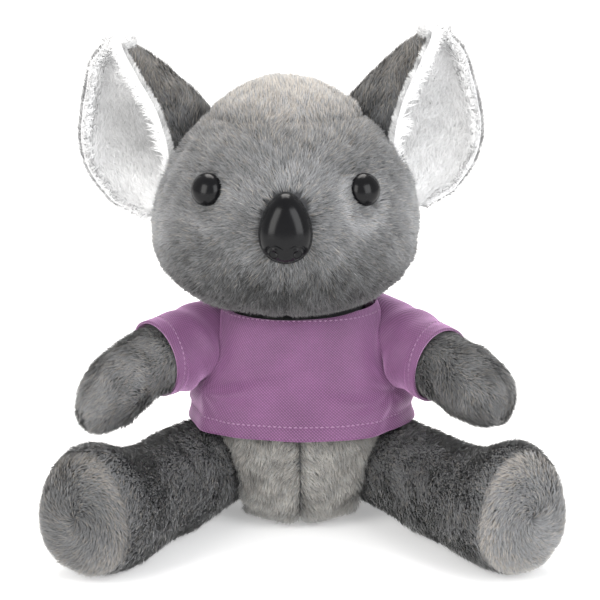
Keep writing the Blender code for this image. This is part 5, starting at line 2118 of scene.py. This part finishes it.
@dataclass
class Shirt:
    """The T-shirt: a body that hangs over the torso, two sleeves, and their stitched hems."""

    root: Array
    head: Head
    torso: Torso
    finishes: Finishes
    hem_height: float = 38.0 * MM
    cloth: float = 0.9 * MM
    ease: float = 0.9 * MM
    flare: float = 1.8 * MM
    hem_band: float = 4.2 * MM
    neck_band: float = 3.4 * MM
    neck_width: float = 27.5 * MM
    stitch_pitch: float = 1.9 * MM
    corner: float = 2.5
    fullness: tuple[float, float] = (1.12, 1.1)
    rows: int = 84
    columns: int = 288
    side_column: int = 72

    def body_grid(self) -> Array:
        """Returns the shirt's body as a grid from hem to neck, in the world.

        It is the torso's form grown by the cloth and its ease, from the hem's height up to where the
        form has closed to the neck hole. Each ring is a little square: |x / w|^n + |y / r|^n = 1. Below
        the chest it flares, with soft folds of cos 5u and cos 9u. It creases at the sides above the hem,
        and the hem's double band stands 0.42 mm proud.

        Returns:
            The grid, (rows, columns, 3).
        """
        dense = self.torso.form.profile(700, -(self.ease + self.cloth))
        start = int(np.argmax(dense[:, 0] > self.hem_height))
        falling = np.flatnonzero((dense[:, 1] < self.neck_width) & (dense[:, 0] > 0.07))
        profile = dense[start : falling[0]]
        reach = path_reach(profile)
        profile = along_path(profile, reach, np.linspace(0.0, reach[-1], self.rows))
        grid = self.torso.form.rounded(profile, self.columns)
        turn = TAU * np.arange(self.columns) / self.columns
        square = np.abs(np.cos(turn)) ** self.corner + np.abs(np.sin(turn)) ** self.corner
        square **= -1.0 / self.corner
        grid = grid * np.stack([square, square, np.ones(self.columns)], axis=1)[None]
        outward = grid_normals(grid, True)
        angles = np.arctan2(grid[..., 1], grid[..., 0])
        z = grid[..., 2]
        low = ease(self.hem_height + 26 * MM - z, 0.0, 26 * MM)
        rise = low * self.flare + low**2 * 0.8 * MM * np.cos(5 * angles + 0.6)
        rise += low**2 * 0.35 * MM * np.cos(9 * angles + 2.0)
        sides = bell(np.abs(np.abs(angles) - 0.5 * math.pi) - 0.5 * math.pi, 0.42)
        wave = z - self.hem_height - 6 * MM + 3 * MM * np.sin(3 * angles)
        crease = np.cos(TAU * wave / (7.5 * MM))
        rise += 0.95 * MM * crease * sides * bell(z - self.hem_height - 11 * MM, 9 * MM)
        rise += self.pulls(grid)
        rise += 0.42 * MM * drift(grid.reshape(-1, 3) * [1.0, 1.0, 0.6], 0.022, 101).reshape(z.shape)
        rise += 0.42 * MM * ease(self.hem_height + self.hem_band - z, -0.25 * MM, 0.25 * MM)
        grid = grid + outward * rise[..., None] * [1.0, 1.0, 0.3]
        grid[0, :, 2] = self.hem_height
        world = grid.reshape(-1, 3) + self.root
        world[:, 2] = np.minimum(world[:, 2], self.head.under(world, 0.7 * MM))
        return world.reshape(grid.shape)

    def pulls(self, grid: Array) -> Array:
        """Returns the folds that run out from the armpits, and two slack ones above the hem.

        Round each armpit, at an angle a and a distance d, a fold is 0.5 mm cos(8 a) where d is about
        13 mm. A slack fold is a bell across a slanting line.

        Args:
            grid: the body's grid in the torso's frame.

        Returns:
            How far each point rises.
        """
        rise = np.zeros(grid.shape[:2])
        for side in Side:
            across, up = side.sign * grid[..., 0] - 34 * MM, grid[..., 2] - 51 * MM
            away = np.hypot(across, up)
            turn = 8.0 * np.arctan2(up, -across) + 0.8 * side.sign
            rise += 0.5 * MM * np.cos(turn) * bell(away - 13 * MM, 9 * MM)
        slack = ((50 * MM, 0.30, -33 * MM, 1.0 * MM), (46 * MM, -0.22, 34 * MM, 0.9 * MM))
        for place, slant, start, depth in slack:
            line = grid[..., 2] - place - slant * (grid[..., 0] - start)
            near = bell(grid[..., 0] - start, 26 * MM) * (grid[..., 1] < 0.0)
            rise += depth * near * (bell(line, 2.6 * MM) - 0.8 * bell(line - 4.6 * MM, 2.8 * MM))
        return rise

    def sew(self, name: str, grid: Array, row: int) -> bpy.types.Object:
        """Returns stitches round a tube of cloth, along one row of its grid.

        Args:
            name: the seam's name.
            grid: the tube's grid in the world.
            row: the row that it follows.

        Returns:
            The stitches, as one piece.
        """
        ups = grid_normals(grid, True)[row]
        path = grid[row] + ups * 0.05 * MM
        return stitches(name, path, ups, self.stitch_pitch, self.finishes.thread)

    def build_body(self, sleeves: list["Sleeve"]) -> list[bpy.types.Object]:
        """Builds the body's cloth, open at the armholes, and its hem's and neck's stitches.

        Args:
            sleeves: the sleeves, which open the armholes.

        Returns:
            The cloth and its stitches.
        """
        grid = self.body_grid()
        normals = grid_normals(grid, True)
        for sleeve in sleeves:
            grid = grid + normals * (0.45 * MM * bell(sleeve.beyond(grid) - 0.3 * MM, 1.1 * MM))[..., None]
        vertices = grid.reshape(-1, 3)
        quads, corners = grid_faces(self.rows, self.columns, True)
        middle = vertices[quads].mean(1)
        keep = np.ones(len(quads), bool)
        for sleeve in sleeves:
            keep &= ~sleeve.swallows(middle)
        around = path_reach(grid[self.rows // 2])[-1] / (self.columns - 1)
        height = path_reach(grid[:, self.side_column])[-1] / (self.rows - 1)
        piece = add_piece("shirt_body", vertices, [quads[keep]], self.finishes.knit)
        set_map(piece, (corners[keep] * [around, height] / CLOTH_UNIT + 0.01).reshape(-1, 2))
        thicken(piece, self.cloth)
        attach(piece, "torso")
        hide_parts("shirt_front", "shirt_back")
        hem, neck = int(round(self.hem_band / height)), int(round(self.neck_band / height))
        seams = []
        for name, row in (("shirt_hem_stitches", hem), ("shirt_neck_stitches", self.rows - 1 - neck)):
            seam = self.sew(name, grid, row)
            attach(seam, "torso")
            seams.append(seam)
        return [piece, *seams]


@dataclass
class Sleeve:
    """One sleeve: a short tube from the armhole to its hem, along the arm."""

    side: Side
    seat: Seat
    shirt: Shirt
    finishes: Finishes
    radius: float = 14.9 * MM
    length: float = 25.4 * MM
    inside: float = 14.0 * MM
    overlap: float = 1.6 * MM
    deepest: float = -6.0 * MM
    hem_band: float = 4.4 * MM
    rising_to: float = 0.0835
    body_top: float = 0.082
    rows: int = 46
    columns: int = 128

    def swallows(self, world: Array) -> Array:
        """Returns which points the armhole leaves open."""
        local = self.seat.local(world)
        off = np.hypot(local[:, 0], local[:, 1])
        return (off < self.radius - self.overlap) & (local[:, 2] > self.deepest)

    def beyond(self, grid: Array) -> Array:
        """Returns how far outside the armhole's seam the body's cloth is."""
        local = self.seat.local(grid)
        off = np.hypot(local[..., 0], local[..., 1])
        return off - self.radius + FAR * (local[..., 2] < self.deepest)

    def armhole(self) -> Array:
        """Returns how far along the sleeve the shirt's body lies, at each of its columns.

        Points along the sleeve are tried, and the last one inside the body's grown form counts. Then the
        line round the armhole is smoothed.

        Returns:
            The places, one a column.
        """
        profile = self.shirt.torso.form.profile(300, -(self.shirt.ease + self.shirt.cloth))
        rising = profile[: int(np.argmax(profile[:, 0] > self.rising_to)) or len(profile)]
        angles = TAU * np.arange(self.columns) / self.columns
        tried = 141
        along = np.linspace(-self.inside, self.inside, tried)
        ring = np.stack([self.radius * np.cos(angles), self.radius * np.sin(angles)], axis=1)
        heights = np.broadcast_to(along[:, None, None], (tried, self.columns, 1))
        local = np.concatenate([np.repeat(ring[None], tried, axis=0), heights], axis=-1)
        points = self.seat.world(local.reshape(-1, 3)) - self.shirt.root
        wide, plus, minus = (np.interp(points[:, 2], rising[:, 0], rising[:, k]) for k in (1, 2, 3))
        reach = np.where(points[:, 1] > 0, plus, minus)
        level = np.abs(points[:, 0] / wide) ** self.shirt.corner
        level = level + np.abs(points[:, 1] / reach) ** self.shirt.corner
        inside = ((level < 1.0) & (points[:, 2] <= self.body_top)).reshape(tried, self.columns)
        last = np.where(inside.any(0), tried - 1 - inside[::-1].argmax(0), 0)
        start = along[last]
        for _ in range(12):
            start = 0.25 * np.roll(start, 1) + 0.5 * start + 0.25 * np.roll(start, -1)
        return start

    def bend(self, edge: Array) -> tuple[Array, Array]:
        """Returns where the sleeve's bend begins and ends, on a line square to its seam's mean plane.

        Args:
            edge: the places round the sleeve's sewn end.

        Returns:
            The place past which the cloth leaves the shirt, and the one past which it follows the arm.
        """
        middle = edge.mean(axis=0)
        outward = np.linalg.svd(edge - middle)[2][2]
        outward *= np.sign(outward @ self.seat.direction(np.array([[0.0, 0.0, 1.0]]))[0])
        begin = middle + outward * (((edge - middle) @ outward).max() + 0.3 * MM)
        return begin, begin + outward * 8.0 * MM

    def build(self) -> list[bpy.types.Object]:
        """Builds the sleeve's cloth and its hem's stitches.

        Round the sleeve at u and along it at v from the armhole's seam to the hem, its radius is
        R (0.955 + 0.06 (1 - exp(-v / 3 mm))), with slanting folds 1.45 mm deep that are deepest near the
        armpit, and 1.3 mm less towards the hem. The hem's double band stands 0.35 mm proud.

        Returns:
            The cloth and its stitches.
        """
        start = self.armhole()[None, :]
        share = np.linspace(0.0, 1.0, self.rows)[:, None]
        z = start - 0.6 * MM + share * (self.length - start + 0.6 * MM)
        angles = (TAU * np.arange(self.columns) / self.columns)[None, :]
        off = (z - start).clip(0.0)
        radius = self.radius * (0.955 + 0.06 * (1.0 - np.exp(-off / (3 * MM))))
        slant = np.sin(2.0 * angles + self.side.sign * z / (1.9 * MM)) * bell(z - 9 * MM, 8 * MM)
        radius = radius + 1.45 * MM * slant * (0.65 - 0.35 * np.sin(angles))
        radius = radius + 0.25 * MM * np.sin(3 * angles + 1.0) * share**2
        radius = radius - 1.3 * MM * ease(z, 8 * MM, 26 * MM)
        radius = radius + 0.35 * MM * ease(z - (self.length - self.hem_band), -0.25 * MM, 0.25 * MM)
        grid = self.seat.world(np.stack([radius * np.cos(angles), radius * np.sin(angles), z], axis=-1))
        under = self.shirt.head.under(grid.reshape(-1, 3), 0.5 * MM).reshape(radius.shape)
        grid[..., 2] = np.minimum(grid[..., 2], under)
        quads, corners = grid_faces(self.rows, self.columns, True)
        label = self.side.value
        piece = add_piece(f"sleeve_{label}_cloth", grid.reshape(-1, 3), [quads], self.finishes.knit)
        around = TAU * self.radius / self.columns
        height = (self.length - float(start.mean())) / (self.rows - 1)
        set_map(piece, (corners * [around, height] / CLOTH_UNIT + 0.01).reshape(-1, 2))
        thicken(piece, self.shirt.cloth)
        row = self.rows - 1 - int(round(self.hem_band / height))
        seam = self.shirt.sew(f"sleeve_{label}_stitches", grid, row)
        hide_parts(f"sleeve_{label}")
        begin, end = self.bend(grid[0])
        for part in (piece, seam):
            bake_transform(part)
        return [piece, seam]


def make_legs(finishes: Finishes) -> list[Leg]:
    """Returns the two legs, spread and flat on the floor.

    Args:
        finishes: the toy's finishes.

    Returns:
        The legs.
    """
    legs = []
    for side, spread in ((Side.LEFT, 30.5), (Side.RIGHT, 32.5)):
        turn = math.radians(spread)
        ahead = (side.sign * math.sin(turn), -math.cos(turn), 0.0)
        form = RingForm(LEG_RINGS, low=(-0.021, -0.0200, -0.01825), high=(0.021, 0.030, 0.0935))
        seat = seat_facing(joint_place(f"hip_{side.value}_drop"), ahead)
        legs.append(Leg("leg", side, seat, form, finishes))
    return legs


def make_arms(finishes: Finishes) -> list[Arm]:
    """Returns the two arms, which reach forward, outward and a little down.

    Args:
        finishes: the toy's finishes.

    Returns:
        The arms.
    """
    arms = []
    for side, forward, down, bend in ((Side.LEFT, 38.0, 6.0, 23.0), (Side.RIGHT, 44.0, 9.5, 9.0)):
        turn, drop = math.radians(forward), math.radians(down)
        level = math.cos(drop)
        ahead = (side.sign * math.cos(turn) * level, -math.sin(turn) * level, -math.sin(drop))
        slope = math.tan(math.radians(bend))
        low, high = (-0.0145, -0.0145, -0.0147), (0.0145, 0.0145, 0.0595)
        form = RingForm(ARM_RINGS, low, high, bend_from=0.029, bend_slope=slope)
        seat = seat_facing(joint_place(f"shoulder_{side.value}_raise"), ahead)
        arms.append(Arm("arm", side, seat, form, finishes))
    return arms


def report(pieces: list[bpy.types.Object]) -> None:
    """Logs each piece with its number of vertices."""
    for piece in pieces:
        LOG.info("%s: %d vertices", piece.name, len(piece.data.vertices))


def main() -> None:
    """Builds the picture, then the toy from the head down."""
    logging.basicConfig(level=logging.INFO, format="%(name)s: %(message)s")
    neck = joint_place("neck_turn")
    root = neck - NECK
    target = root + AIM
    Photographer(tuple(target)).set_up()
    finishes = Finishes()
    head = Head(neck, finishes)
    skin = head.skin()
    report([skin, *head.piles(skin)])
    for side in Side:
        report([Eye(side, finishes).build(), *Ear(side, neck, finishes).build()])
    report([Nose(finishes).build()])
    for washer in ("eye_washer_left", "eye_washer_right", "nose_washer"):
        frame["nodes"][washer].data.materials.clear()
        frame["nodes"][washer].data.materials.append(finishes.washer_plastic)
    legs, arms = make_legs(finishes), make_arms(finishes)
    sockets = [SweptRoot(leg.seat, radius=18.4 * MM, swing=(-30.0, 0.0)) for leg in legs]
    sockets += [SweptRoot(arm.seat, radius=14.9 * MM, swing=(0.0, 25.0)) for arm in arms]
    for limb in [*legs, *arms]:
        skin = limb.skin()
        report([skin, *limb.piles(skin)])
    torso = Torso(root, head, sockets, finishes)
    skin = torso.skin()
    report([skin, *torso.piles(skin)])
    shirt = Shirt(root, head, torso, finishes)
    sleeves = [Sleeve(arm.side, arm.seat, shirt, finishes) for arm in arms]
    report(shirt.build_body(sleeves))
    for sleeve in sleeves:
        report(sleeve.build())


if __name__ == "__main__":
    main()
